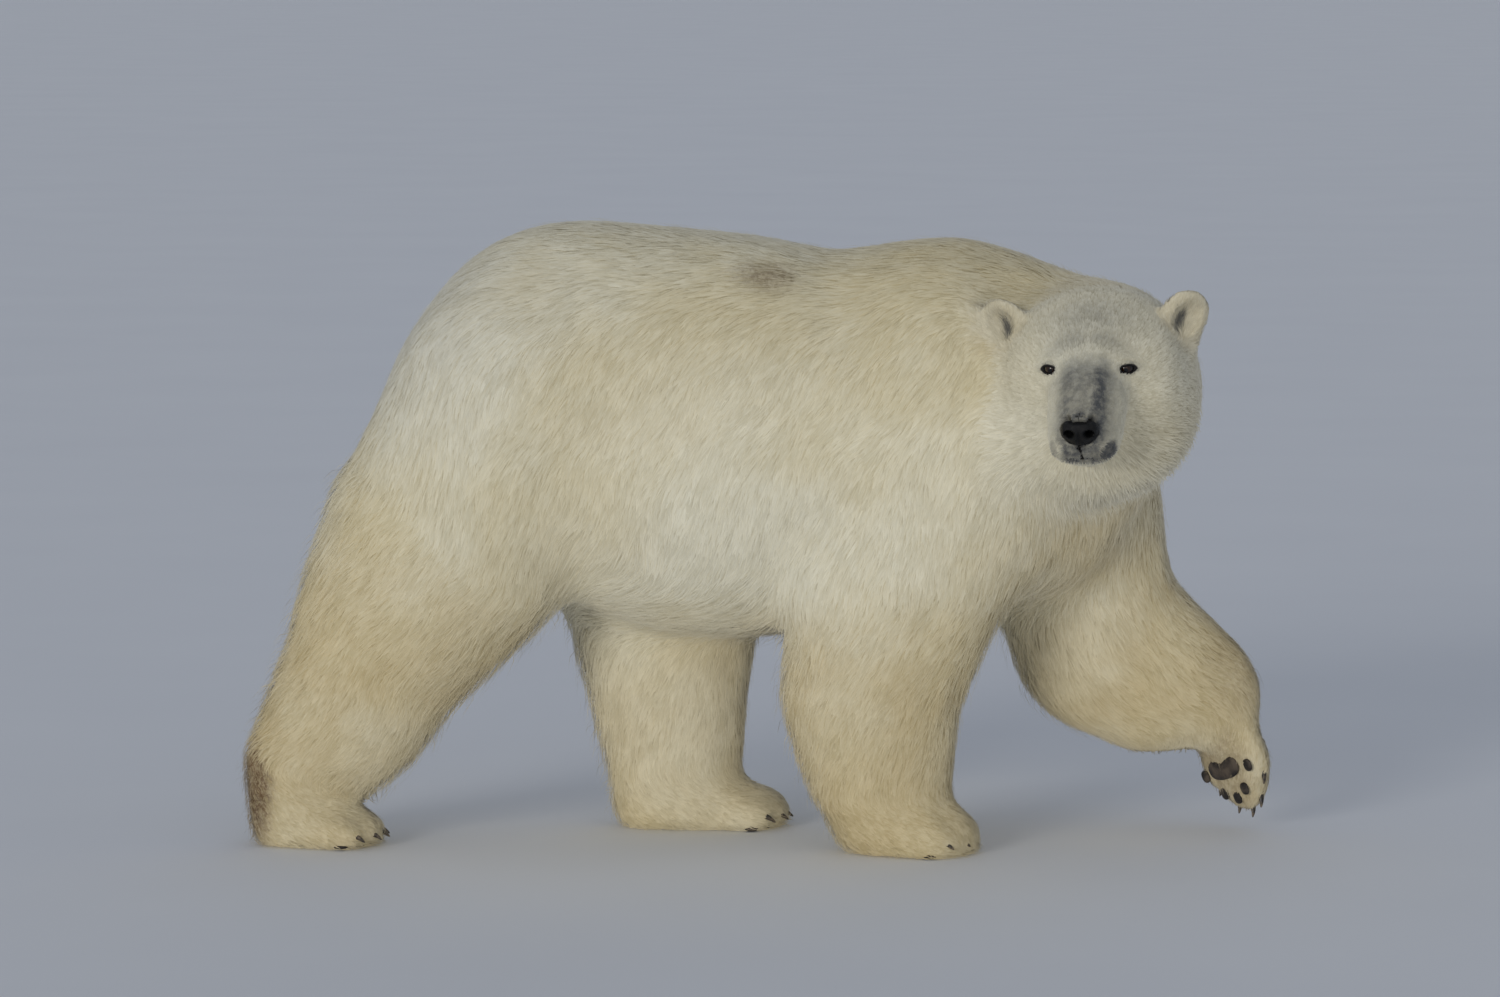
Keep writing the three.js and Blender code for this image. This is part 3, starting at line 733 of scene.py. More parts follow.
@dataclass
class Surface:
    """A triangle mesh as arrays.

    Attributes:
        points: one row for each point, in metres.
        faces: the three points of each face.
        edges: the two points of each edge.
    """

    points: np.ndarray
    faces: np.ndarray
    edges: np.ndarray

    def __post_init__(self) -> None:
        """List each point's neighbours, one point after another."""
        ends = np.concatenate([self.edges, self.edges[:, ::-1]])
        ends = ends[np.argsort(ends[:, 0], kind="stable")]
        self.neighbours = ends[:, 1]
        counts = np.bincount(ends[:, 0], minlength=len(self.points))
        self.counts = np.maximum(counts, 1)[:, None]
        self.starts = np.minimum(np.concatenate([[0], np.cumsum(counts)[:-1]]), len(ends) - 1)

    @classmethod
    def of(cls, bm: bmesh.types.BMesh) -> "Surface":
        """Read a bmesh, whose faces are made triangles.

        Args:
            bm: the shape, which is freed.

        Returns:
            The surface.
        """
        bmesh.ops.triangulate(bm, faces=bm.faces)
        mesh = bpy.data.meshes.new("arrays")
        bm.to_mesh(mesh)
        bm.free()
        points = np.empty(len(mesh.vertices) * 3)
        mesh.vertices.foreach_get("co", points)
        faces = np.empty(len(mesh.loops), np.int32)
        mesh.loops.foreach_get("vertex_index", faces)
        edges = np.empty(len(mesh.edges) * 2, np.int32)
        mesh.edges.foreach_get("vertices", edges)
        bpy.data.meshes.remove(mesh)
        return cls(points.reshape(-1, 3), faces.reshape(-1, 3), edges.reshape(-1, 2))

    def face_normals(self) -> np.ndarray:
        """Each face's normal, as long as twice its area."""
        a, b, c = (self.points[self.faces[:, k]] for k in range(3))
        return np.cross(b - a, c - a)

    def normals(self, rounds: int) -> np.ndarray:
        """The normal at each point, evened out over its neighbours.

        Args:
            rounds: how many times they are evened.

        Returns:
            One row for each point.
        """
        weighted = self.face_normals()
        total = np.zeros_like(self.points)
        for axis in range(3):
            total[:, axis] = np.bincount(
                self.faces.ravel(), np.repeat(weighted[:, axis], 3), minlength=len(self.points))
        return unit(self.relaxed(unit(total), rounds))

    def relaxed(self, values: np.ndarray, rounds: int, pull: float | np.ndarray = 0.6) -> np.ndarray:
        """Draw the value at each point towards its neighbours'.

        Args:
            values: one row for each point.
            rounds: how many times.
            pull: how far each time, one number or one for each point.

        Returns:
            The evened values.
        """
        flat = values.reshape(len(values), -1).astype(float)
        pull = np.asarray(pull, float).reshape(-1, 1)
        for _ in range(rounds):
            mean = np.add.reduceat(flat[self.neighbours], self.starts, axis=0) / self.counts
            flat = flat + pull * (mean - flat)
        return flat.reshape(values.shape)

    def tree(self) -> BVHTree:
        """The surface for nearest-point searches."""
        corners = [tuple(f) for f in self.faces.tolist()]
        return BVHTree.FromPolygons([Vector(p) for p in self.points], corners)


@dataclass(frozen=True)
class EyeShape:
    """An eye's opening in the plane that it looks out of, in millimetres, and how the ball sits.

    Attributes:
        half_width: half the opening's length between its corners.
        upper: rise of the upper lid over the middle.
        lower: drop of the lower lid.
        slant: how much lower the inner corner is than the outer, in degrees.
        corner: how far the bare skin runs on past each corner.
        margin: width of the bare skin over and under the opening.
        lid: thickness of the lids over the ball.
        shut_in: how far behind the ball's surface the skin dives inside the opening.
    """

    half_width: float = 14.2
    upper: float = 8.6
    lower: float = 5.4
    slant: float = -9.0
    corner: float = 6.5
    margin: float = 2.3
    lid: float = 1.6
    shut_in: float = 9.0


@dataclass
class Eye:
    """One eye: the ball, the rim round its opening, and the space that the skin leaves for it.

    Attributes:
        side: left or right.
        shape: its sizes.
    """

    side: str
    shape: EyeShape = EyeShape()

    def __post_init__(self) -> None:
        """Find the ball, and which way the eye is wide, is high and looks."""
        self.sign = SIDES[self.side]
        low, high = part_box(f"eye_{self.side}")
        self.centre = np.array((low + high) / 2)
        self.radius = float((high - low).x) / 2
        axes = HEAD.axes()
        self.outward = unit(np.array([0.86, self.sign * 0.50, 0.10]) @ axes)
        up = across(axes[2][None], self.outward[None])[0]
        side_way = np.cross(up, self.outward) * -self.sign  # towards the outer corner
        side_way = side_way if side_way @ (self.sign * axes[1]) > 0 else -side_way
        turn = math.radians(self.shape.slant)
        self.wide = side_way * math.cos(turn) + up * math.sin(turn)
        self.high = up * math.cos(turn) - side_way * math.sin(turn)

    def flat(self, points: np.ndarray) -> np.ndarray:
        """Points as millimetres across, up and out of the eye."""
        return (points - self.centre) @ np.array([self.wide, self.high, self.outward]).T / MM

    def opening(self, u: np.ndarray, v: np.ndarray) -> np.ndarray:
        """How far out of the opening points are.

        Args:
            u: millimetres towards the outer corner.
            v: millimetres up.

        Returns:
            One on the opening's edge, less inside it and more outside.
        """
        s = self.shape
        tall = np.where(v > 0, s.upper, s.lower)
        return np.sqrt((u / s.half_width) ** 2 + (v / tall) ** 2)

    def bare(self, u: np.ndarray, v: np.ndarray) -> np.ndarray:
        """How far out of the hairless skin round the opening points are.

        Args:
            u: millimetres towards the outer corner.
            v: millimetres up.

        Returns:
            One on that skin's edge, less inside it and more outside.
        """
        s, square = self.shape, 1.7
        tall = np.where(v > 0, s.upper, s.lower) + s.margin
        wide = s.half_width + s.corner
        return ((np.abs(u) / wide) ** square + (np.abs(v) / tall) ** square) ** (1 / square)

    def shaped(self, points: np.ndarray) -> np.ndarray:
        """Raise the skin over the ball as lids, and sink it behind the ball in the opening.

        Args:
            points: the skin's points.

        Returns:
            The same points with those round the eye moved.
        """
        local = self.flat(points)
        u, v, w = local.T
        ball = self.radius / MM
        reach = np.hypot(u, v)
        near = (reach < 34) & (w > -14)
        lid = ball + self.shape.lid
        dome = np.sqrt(np.maximum(lid**2 - np.minimum(reach, lid * 0.985) ** 2, 0.0))
        soft = 4.0  # how far the lids and the face round into each other
        top = np.logaddexp(w / soft, (dome - 1.5 * ease(reach, 9, 26)) / soft) * soft
        lifted = w + (top - w) * ease(reach, 30, 15)
        ratio = self.opening(u, v)
        lifted -= 1.3 * bell(ratio, 1.85, 0.16) * (v > 0) * ease(np.abs(u), 15, 9)
        inside = ease(ratio, 1.06, 0.82)
        lifted = lifted * (1 - inside) + (dome - self.shape.shut_in) * inside
        out = points + np.outer((lifted - w) * MM, self.outward)
        return np.where(near[:, None], out, points)

    def ball(self) -> bpy.types.Object:
        """The eyeball, with a cornea that stands a little proud.

        Returns:
            The piece.
        """
        bm = bmesh.new()
        bmesh.ops.create_uvsphere(bm, u_segments=48, v_segments=32, radius=self.radius)
        gaze = unit(self.outward * 0.45 + unit(np.array([1.0, 0, 0.12]) @ HEAD.axes()) * 0.75)
        turn = Vector((0, 0, 1)).rotation_difference(Vector(gaze)).to_matrix()
        for v in bm.verts:
            angle = v.co.angle(Vector((0, 0, 1)))
            v.co *= 1 + 0.045 * math.exp(-((angle / 0.55) ** 4))
        bmesh.ops.rotate(bm, verts=bm.verts, matrix=turn, cent=(0, 0, 0))
        bmesh.ops.translate(bm, verts=bm.verts, vec=Vector(self.centre))
        mesh = bpy.data.meshes.new(f"eyeball_{self.side}")
        bm.to_mesh(mesh)
        bm.free()
        points = np.array([v.co for v in mesh.vertices])
        angle = np.arccos(np.clip(unit(points - self.centre) @ gaze, -1, 1))
        hold(mesh, {"angle": angle})
        mesh.shade_smooth()
        return piece(f"eyeball_{self.side}", mesh, EYE, [f"eye_{self.side}"])

    def rim(self) -> bpy.types.Object:
        """The dark bare edge of the lids: a rounded band that lies on the ball, with a tear corner.

        Returns:
            The piece.
        """
        s, steps, sides = self.shape, 72, 10
        ball = self.radius / MM * 1.01
        ring = []
        for k in range(steps):
            a = 2 * math.pi * k / steps
            u = s.half_width * math.cos(a)
            lift = s.upper if math.sin(a) > 0 else s.lower
            v = lift * math.sin(a) * (0.86 + 0.14 * abs(math.sin(a)))
            inner = max(0.0, -math.cos(a)) ** 6
            ring.append((u - 1.5 * inner, v - 0.8 * inner, 1.5 + 0.5 * (v > 0) + 0.8 * inner))
        bm = bmesh.new()
        loops = []
        for k, (u, v, thick) in enumerate(ring):
            w = math.sqrt(max(ball**2 - u * u - v * v, 4.0))
            spot = np.array([u, v, w])
            ahead, behind = ring[(k + 1) % steps], ring[k - 1]
            along = unit(np.array([ahead[0] - behind[0], ahead[1] - behind[1], 0.0]))
            out = unit(spot)
            beside = unit(np.cross(out, along))
            loop = []
            for j in range(sides):
                b = 2 * math.pi * j / sides
                p = spot + beside * thick * 1.15 * math.cos(b) + out * thick * 0.75 * math.sin(b)
                world = self.centre + (self.wide * p[0] + self.high * p[1] + self.outward * p[2]) * MM
                loop.append(bm.verts.new(world))
            loops.append(loop)
        rings = [[bm.edges.new((loop[j], loop[(j + 1) % sides])) for j in range(sides)] for loop in loops]
        for k in range(steps):
            bmesh.ops.bridge_loops(bm, edges=rings[k] + rings[(k + 1) % steps])
        bmesh.ops.recalc_face_normals(bm, faces=bm.faces)
        mesh = bpy.data.meshes.new(f"lid_rim_{self.side}")
        bm.to_mesh(mesh)
        bm.free()
        mesh.shade_smooth()
        return piece(f"lid_rim_{self.side}", mesh, RIM_LEATHER, [])


def hold(mesh: bpy.types.Mesh, readings: dict[str, np.ndarray]) -> None:
    """Hold a number at each point of a mesh, under each name."""
    for name, values in readings.items():
        made = mesh.attributes.new(name, "FLOAT", "POINT")
        made.data.foreach_set("value", np.ascontiguousarray(values, np.float32))


@dataclass
class Mouth:
    """The closed mouth: a groove along the lips, and the groove from the nose down to it.

    Attributes:
        half: the lip line on one side in the head's millimetres, from the middle back to the corner.
        parting: the line down from the nose to the lips.
        width: half width of the groove.
        depth: depth of the groove.
        bare: width of the hairless lip beside it.
    """

    half: tuple = ((160, 0, -109), (161, 13, -106), (160, 27, -104), (150, 44, -106),
                   (124, 56, -106), (98, 60, -104), (66, 61, -98))
    parting: tuple = ((192, 0, -68), (186, 0, -80), (176, 0, -93), (160, 0, -108))
    width: float = 3.0
    depth: float = 4.4
    bare: float = 4.5

    @staticmethod
    def along(line: tuple, count: int = 60) -> np.ndarray:
        """Space points evenly along a line.

        Args:
            line: the line's own points.
            count: how many points to make.

        Returns:
            One row for each new point.
        """
        line = np.array(line, float)
        gone = np.concatenate([[0], np.cumsum(np.linalg.norm(np.diff(line, axis=0), axis=1))])
        at = np.linspace(0, gone[-1], count)
        return np.stack([np.interp(at, gone, line[:, k]) for k in range(3)], 1)

    def lines(self, tree: BVHTree) -> list[np.ndarray]:
        """Lay the mouth's lines on a surface.

        Args:
            tree: the surface.

        Returns:
            The lip line on the left and on the right and the parting, in metres.
        """
        mirrored = tuple((x, -y, z) for x, y, z in self.half)
        laid = []
        for line in (self.half, mirrored, self.parting):
            points = HEAD.out(self.along(line))
            laid.append(np.array([tree.find_nearest(Vector(p))[0] for p in points]))
        return laid


def distance_to(points: np.ndarray, line: np.ndarray, limit: float) -> np.ndarray:
    """How far each point is from a line of points.

    Args:
        points: the points.
        line: the line's points.
        limit: the greatest distance to tell.

    Returns:
        Metres from the line, or the limit where it is further.
    """
    out = np.full(len(points), limit)
    low, high = line.min(0) - limit, line.max(0) + limit
    near = ((points > low) & (points < high)).all(1)
    if near.any():
        gaps = np.linalg.norm(points[near][:, None] - line[None], axis=2).min(1)
        out[near] = np.minimum(gaps, limit)
    return out


class Mark(Enum):
    """Soft-edged marks, in the millimetres of an ear, the head or a paw or in the model's metres."""

    EAR_LOBE = Patch((0, 0, 0), (44, 66, 74), 1.15, 0.9)
    EAR_CUP = Patch((15, 0, 8), (15, 30, 38), 1.15, 0.75)
    NOSE_TOP = Patch((174, 0, -16), (27, 19, 15), 1.3, 0.6, 0.9)
    LEFT_FLEW = Patch((158, 47, -92), (26, 19, 24), 1.35, 0.7)
    LEFT_FLEW_BARE = Patch((158, 47, -92), (26, 19, 24), 1.2, 0.3, 0.25)
    RIGHT_FLEW = Patch((156, -48, -86), (20, 12, 20), 1.3, 0.7, 0.5)
    PALM_DIRT = Patch((90, 0, 0), (150, 95, 34), 1.1, 0.5, 0.45)
    BACK_DIRT = Patch((0.05, -0.03, 1.09), (0.085, 0.06, 0.05), 1.1, 0.1, 0.7)
    HEEL_DIRT = Patch((-0.95, -0.055, 0.12), (0.05, 0.09, 0.14), 1.1, 0.4)
    # Painted shade on the shaded side of the raised forearm, laid on in the dirt's colours.
    SHIN_SHADE = Patch((0.92, 0.30, 0.34), (0.10, 0.20, 0.15), 1.3, 0.3, 0.3)

    def on(self, points: np.ndarray) -> np.ndarray:
        """How strong the mark is at each point."""
        return self.value.mark(points)


class Region(Enum):
    """Wide regions that the coat's colour changes over, in the model's metres."""

    RUMP = Spot((-0.66, 0.05, 1.00), (0.28, 0.40, 0.24))
    BELLY = Spot((-0.05, 0.05, 0.58), (0.42, 0.60, 0.20))
    FLANK = Spot((-0.15, -0.20, 0.82), (0.30, 0.40, 0.16))
    FAR_LEG = Spot((-0.15, 0.25, 0.30), (0.20, 0.14, 0.34))
    ROUND_FAR_LEG = Spot((-0.15, 0.25, 0.30), (0.24, 0.16, 0.40))
    RAISED_LEG = Spot((0.80, 0.30, 0.36), (0.30, 0.22, 0.36))
    CHEST = Spot((0.62, 0.05, 0.62), (0.30, 0.24, 0.22))
    # Where painted shade greys the rump.
    SHADED_RUMP = Spot((-0.66, 0.0, 1.05), (0.34, 0.45, 0.28))

    def on(self, points: np.ndarray) -> np.ndarray:
        """One in the region's middle, fading to nothing well outside it."""
        return self.value.glow(points)


@dataclass
class Skin:
    """The one skin: the animal's shape, drawn in by the coat's depth, with the folds of the face.

    Attributes:
        eyes: the eyes, which the lids are shaped round.
        mouth: the mouth's grooves.
        voxel: side of the first even squares, in metres.
        swelling: how far the solids swell before they are joined, in metres.
        under_nose: how much deeper the skin is under the nose leather, in millimetres.
        lip_reach: how far from the lips the distance to them is told, in metres.
    """

    eyes: list[Eye]
    mouth: Mouth
    voxel: float = 0.011
    swelling: float = 0.0016
    under_nose: float = 18.0
    lip_reach: float = 0.03

    def __post_init__(self) -> None:
        """Wrap the solids and shape the skin from that."""
        self.surface = self.wrap()
        self.node_of_point()
        self.settle()

    def wrap(self) -> Surface:
        """Wrap one even surface round all the flesh, finer on the head and the ears.

        Returns:
            The surface, as far out as the solids are.
        """
        solids = merged(WRAPPED)
        self.solids = BVHTree.FromBMesh(solids)
        for v in solids.verts:
            v.co += v.normal * self.swelling
        bm = remeshed(solids, self.voxel)
        self.refine(bm, self.head_zone)
        self.refine(bm, self.face_zone)
        self.refine(bm, self.eye_zone)
        surface = Surface.of(bm)
        local = HEAD.into(surface.points)
        face = ease(local[:, 0], -60, 20) * (local[:, 0] < 260)
        face *= (np.abs(local[:, 1]) < 170) & (local[:, 2] > -190)
        near_ear = self.ear_share(surface.points)
        firm = np.maximum(face, near_ear)
        # Refined areas go back to the solids' own surface, and coarse ones are evened over their facets.
        for k in np.flatnonzero(firm > 0.01):
            spot, _, _, gap = self.solids.find_nearest(Vector(surface.points[k]))
            if gap < 0.006 + 0.008 * near_ear[k]:
                surface.points[k] += (np.array(spot) - surface.points[k]) * firm[k]
        loose = 1 - 0.9 * firm
        for _ in range(9):
            # Each step in is followed by one out, so that the animal doesn't shrink.
            surface.points = surface.relaxed(surface.points, 1, 0.55 * loose)
            surface.points = surface.relaxed(surface.points, 1, -0.57 * loose)
        surface.points = surface.relaxed(surface.points, 3, 0.5 * np.maximum(loose, 0.5))
        log.info("skin: %d points, %d triangles", len(surface.points), len(surface.faces))
        return surface

    @staticmethod
    def refine(bm: bmesh.types.BMesh, wanted: Callable[[np.ndarray], np.ndarray]) -> None:
        """Halve the edges of some faces.

        Args:
            bm: the shape.
            wanted: says which faces, from their middles.
        """
        centres = np.array([f.calc_center_median() for f in bm.faces])
        edges = {e for f, picked in zip(bm.faces, wanted(centres)) if picked for e in f.edges}
        bmesh.ops.subdivide_edges(bm, edges=list(edges), cuts=1, use_grid_fill=True)

    @staticmethod
    def head_zone(centres: np.ndarray) -> np.ndarray:
        """Pick the faces of the head and the ears.

        Args:
            centres: the faces' middles.

        Returns:
            True for each face that is picked.
        """
        x, y, z = HEAD.into(centres).T
        zone = (x > -90) & (x < 260) & (np.abs(y) < 200) & (z > -140)
        return zone | (Skin.ear_share(centres) > 0.5)

    @staticmethod
    def face_zone(centres: np.ndarray) -> np.ndarray:
        """Pick the faces from the brow to the nose, and those of the ears.

        Args:
            centres: the faces' middles.

        Returns:
            True for each face that is picked.
        """
        x, y, z = HEAD.into(centres).T
        zone = (x > -20) & (x < 260) & (np.abs(y) < 100) & (z > -130) & (z < 50)
        return zone | (Skin.ear_share(centres) > 0.5)

    def eye_zone(self, centres: np.ndarray) -> np.ndarray:
        """Pick the faces round an eye or at the front of the muzzle.

        Args:
            centres: the faces' middles.

        Returns:
            True for each face that is picked.
        """
        zone = np.zeros(len(centres), bool)
        for eye in self.eyes:
            zone |= np.linalg.norm(centres - eye.centre, axis=1) < 0.032
        x, y, z = HEAD.into(centres).T
        front = (x > 140) & (z < -8) & (z > -116)
        return zone | (front & (np.abs(y) < np.where(z > -60, 42, 54)))

    @staticmethod
    def ear_share(points: np.ndarray) -> np.ndarray:
        """One on the ears' lobes, nothing away from them."""
        return np.maximum.reduce([Mark.EAR_LOBE.on(place.into(points)) for place in EARS.values()])

    def node_of_point(self) -> None:
        """Find the solid that each point belongs to."""
        names, corners, owner, points = [], [], [], []
        for name in FLESH:
            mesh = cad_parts[name].data
            base = len(points)
            points.extend(v.co.copy() for v in mesh.vertices)
            corners.extend(tuple(base + k for k in p.vertices) for p in mesh.polygons)
            owner.extend([len(names)] * len(mesh.polygons))
            names.append(name)
        tree = BVHTree.FromPolygons(points, corners)
        found = [tree.find_nearest(Vector(p))[2] for p in self.surface.points]
        self.names = names
        self.owner = np.array(owner)[np.array(found)]

    def settle(self) -> None:
        """Work out the coat at each point, then draw the skin in under it and shape the face."""
        s = self.surface
        outer = s.points.copy()
        self.outer = outer
        normals = s.normals(2)
        local = HEAD.into(outer)
        self.pelts(outer, local)
        self.nose = ease(Nose.outline(local), 1.02, 0.9) * (local[:, 0] > 150)
        self.hangs(outer, normals)
        inward = s.normals(6)
        drawn = self.depth + self.nose * self.under_nose
        s.points = outer - inward * (drawn * MM)[:, None]
        s.points = s.relaxed(s.points, 2, 0.4 * (1 - ease(local[:, 0], -60, 20)))
        for eye in self.eyes:
            s.points = eye.shaped(s.points)
        self.lips(outer)
        self.tints(outer)

    def pelts(self, outer: np.ndarray, local: np.ndarray) -> None:
        """Blend the kinds of coat into each other: its depth, its locks' sizes and its looseness.

        Args:
            outer: the points at the coat's tips.
            local: the same in the head's millimetres.
        """
        s, names = self.surface, self.names
        x, _, z = local.T
        table = np.array([Pelt.of(n).value for n in names])
        pelt = s.relaxed(np.log(table[self.owner]), 14)
        on_head = s.relaxed((np.array([n == "head" for n in names])[self.owner]).astype(float), 6)
        # On the face the coat shortens towards the nose and the eyes.
        front = ease(x, -70, 110) * on_head * (1 - 0.75 * (ease(z, -90, -150) * ease(x, 150, 60)))
        self.ruff = ease(z, -92, -150) * ease(x, 60, -20) * on_head
        in_ears = [place.into(outer) for place in EARS.values()]
        self.cup = np.maximum.reduce([Mark.EAR_CUP.on(ear) for ear in in_ears])
        by_ear = np.maximum.reduce([ease(np.linalg.norm(ear, axis=1), 135, 80) for ear in in_ears])
        by_ear *= ~np.isin(self.owner, [k for k, n in enumerate(names) if n.startswith("ear")]) * 0.8
        shares = [(by_ear, Pelt.HEAD), (front, Pelt.MUZZLE), (self.ruff, Pelt.RUFF), (self.cup, Pelt.CUP)]
        for eye in self.eyes:
            gap = np.linalg.norm(outer - eye.centre, axis=1) / MM
            shares.append((ease(gap, 46, 24), Pelt.LIDS))
        for share, kind in shares:
            pelt = pelt + (np.log(np.array(kind.value)) - pelt) * share[:, None]
        self.depth, self.length, self.width, self.spacing, self.looseness = np.exp(pelt).T

    def hangs(self, outer: np.ndarray, normals: np.ndarray) -> None:
        """Find where the coat hangs clear as a fringe: under the body, behind the legs and on the ruff.

        Args:
            outer: the points at the coat's tips.
            normals: the normals there.
        """
        on_legs = np.isin(self.owner, [k for k, n in enumerate(self.names) if "_" in n])
        rear = ease(-normals[:, 0], 0.25, 0.9) * on_legs
        under = ease(-normals[:, 2], 0.1, 0.8)
        ruff = self.ruff * ease(-normals[:, 2], -0.2, 0.6)
        fringe = np.clip(np.maximum.reduce([under * 0.9, rear * 0.8, ruff]), 0, 1)
        wrist = np.linalg.norm(LEGS["fore_left"].sole.into(outer), axis=1)
        self.fringe = self.surface.relaxed(fringe, 6) * (1 - 0.85 * ease(wrist, 440, 250))

    def lips(self, outer: np.ndarray) -> None:
        """Press the mouth's grooves into the skin.

        Args:
            outer: the points at the coat's tips.
        """
        s, m = self.surface, self.mouth
        left, right, parting = m.lines(s.tree())
        normals = s.normals(1)
        to_sides = [distance_to(s.points, line, self.lip_reach) for line in (left, right)]
        self.to_lip = np.minimum(*to_sides) / MM
        self.to_parting = distance_to(s.points, parting, self.lip_reach) / MM
        x, y, _ = HEAD.into(outer).T
        groove = m.depth * bell(self.to_lip, 0, m.width) * (0.35 + 0.65 * ease(np.abs(y), 52, 24))
        groove += 2.6 * bell(self.to_parting, 0, 2.0)
        swell = 0.7 * bell(self.to_lip, 9, 5.0) * (x > 90)
        s.points = s.points - normals * ((groove - swell) * MM)[:, None]

    def tints(self, outer: np.ndarray) -> None:
        """Work out what the markings read at each point, one array for each name in TINTS.

        Args:
            outer: the points at the coat's tips.
        """
        s, names = self.surface, np.array(self.names)
        local = HEAD.into(outer)
        on_head = np.isin(names, ["head", "ear_left", "ear_right"])[self.owner]
        self.face = s.relaxed(on_head.astype(float), 9)
        limb = np.array([n.startswith(("fore", "hind")) for n in self.names])[self.owner].astype(float)
        # worn comes back as the painted shade that greys the rump and the top of the back.
        self.pale, self.ochre, worn = self.casts(outer, s.relaxed(limb, 100))
        self.dusk = np.clip(np.maximum(self.greys(local), worn), 0, 1)
        side = np.abs(local[:, 1])
        lip = ease(self.to_lip, self.mouth.bare, self.mouth.bare * 0.45)
        lip *= ease(side, 40, 20) * ease(local[:, 0], 100, 130)
        self.bare = np.maximum.reduce([
            lip, ease(self.to_parting, 3.4, 1.2), Mark.LEFT_FLEW_BARE.on(local), self.nose])
        for eye in self.eyes:
            u, v, _ = eye.flat(s.points).T
            ratio = eye.bare(u, v)
            near = np.linalg.norm(s.points - eye.centre, axis=1) < 0.04
            self.bare = np.maximum(self.bare, ease(ratio, 1.12, 0.98) * near)
            self.dusk = np.maximum(self.dusk, ease(ratio, 1.9, 1.1) * near * 0.3)
        for name, place in EARS.items():
            ear = place.into(outer)
            far = np.linalg.norm(ear, axis=1)
            mine = (names == f"ear_{name}")[self.owner] | (far < 60) & (ear[:, 0] > -4)
            whole = (far < 80) * mine
            # Deep in each ear's hollow and through its cup the skin is darker: dark skin, deepened as
            # painted shade.
            deep = Patch((8, -6 * SIDES[name], -6), (22, 9, 24), 1.5, 0.4).mark(ear) * mine
            rim = ease(ear[:, 2], 40, 60) * ease(ear[:, 0], 4, -6) * mine
            self.bare = np.maximum(self.bare, deep * 0.35)
            self.ochre = np.maximum(self.ochre, whole * 0.55)
            self.dusk = np.maximum.reduce([
                self.dusk, deep * 0.9, rim * 0.4, self.cup * mine * 0.22, whole * 0.10])
        self.bare = np.clip(self.bare, 0, 1)
        self.stain = self.stains(outer)

    @staticmethod
    def greys(local: np.ndarray) -> np.ndarray:
        """Where dark skin shows through the thin coat of the face, with painted shade on the left side of
        the bridge and over the brow and crown.

        Args:
            local: points in the head's millimetres.

        Returns:
            How grey each point is.
        """
        x, y, z = local.T
        side = np.abs(y)
        along = ease(x, -26, 76) * ease(z, -92, -62)
        # Grey skin along the bridge, stronger on the left side; that extra grey is painted shade.
        bridge = np.maximum.reduce([
            0.98 * bell(y, 30, 26), 0.8 * bell(y, -29, 22), 0.70 * ease(side, 60, 22)])
        # The brow and crown are grey skin showing through, deepened with painted shade over the top of the
        # head.
        brow = np.exp(-(((side - 30) / 46) ** 2) - ((x + 20) / 27) ** 2) * (z > 10) * 0.50
        crown = np.exp(-(((y - 4) / 92) ** 2) - ((x + 68) / 62) ** 2) * (z > 20) * 0.42
        lip = ease(side, 46, 26) * ease(z, -125, -112) * ease(z, -58, -72) * ease(x, 112, 142) * 0.9
        marks = [mark.on(local) for mark in (Mark.NOSE_TOP, Mark.LEFT_FLEW, Mark.RIGHT_FLEW)]
        return np.maximum.reduce([bridge * along, brow, crown, lip, *marks])

    @staticmethod
    def casts(points: np.ndarray, limb: np.ndarray) -> tuple[np.ndarray, np.ndarray, np.ndarray]:
        """The coat's wide changes of colour.

        Args:
            points: the points.
            limb: how much each belongs to a leg.

        Returns:
            How far the coat pales on the rump and belly, how far it yellows on the legs and chest, and how
            far painted shade greys the rump and the top of the back.
        """
        z = points[:, 2]
        pale = np.maximum.reduce([
            0.95 * Region.RUMP.on(points), 0.60 * Region.BELLY.on(points),
            0.35 * Region.FLANK.on(points), 0.35 * Region.FAR_LEG.on(points)])
        legs = limb * ease(z, 0.88, 0.24) * (1 - 0.55 * Region.ROUND_FAR_LEG.on(points))
        raised, chest = Region.RAISED_LEG.on(points), Region.CHEST.on(points)
        ochre = np.maximum.reduce([0.72 * legs, 0.9 * raised, 0.6 * chest])
        # Painted shade: greys the rump and darkens the coat towards the top of the back.
        worn = np.maximum(0.16 * Region.SHADED_RUMP.on(points), 0.10 * ease(z, 0.80, 1.05))
        return pale, ochre, worn

    @staticmethod
    def stains(points: np.ndarray) -> np.ndarray:
        """Dirt on the back behind the shoulder, on the heel and on the raised paw's palm, and painted shade
        on that paw's shin.

        Args:
            points: the points, in metres.

        Returns:
            How dirty each is.
        """
        palm = Mark.PALM_DIRT.on(LEGS["fore_left"].sole.into(points))
        dirt_and_shade = [mark.on(points) for mark in (Mark.BACK_DIRT, Mark.HEEL_DIRT, Mark.SHIN_SHADE)]
        return np.maximum.reduce([palm, *dirt_and_shade])

    def build(self) -> bpy.types.Object:
        """Write the skin with what its markings read.

        Returns:
            The piece.
        """
        s = self.surface
        mesh = written("skin", s.points, np.full(len(s.faces), 3), s.faces.ravel())
        hold(mesh, {k: getattr(self, k) for k in TINTS})
        return piece("skin", mesh, SKIN, FLESH)


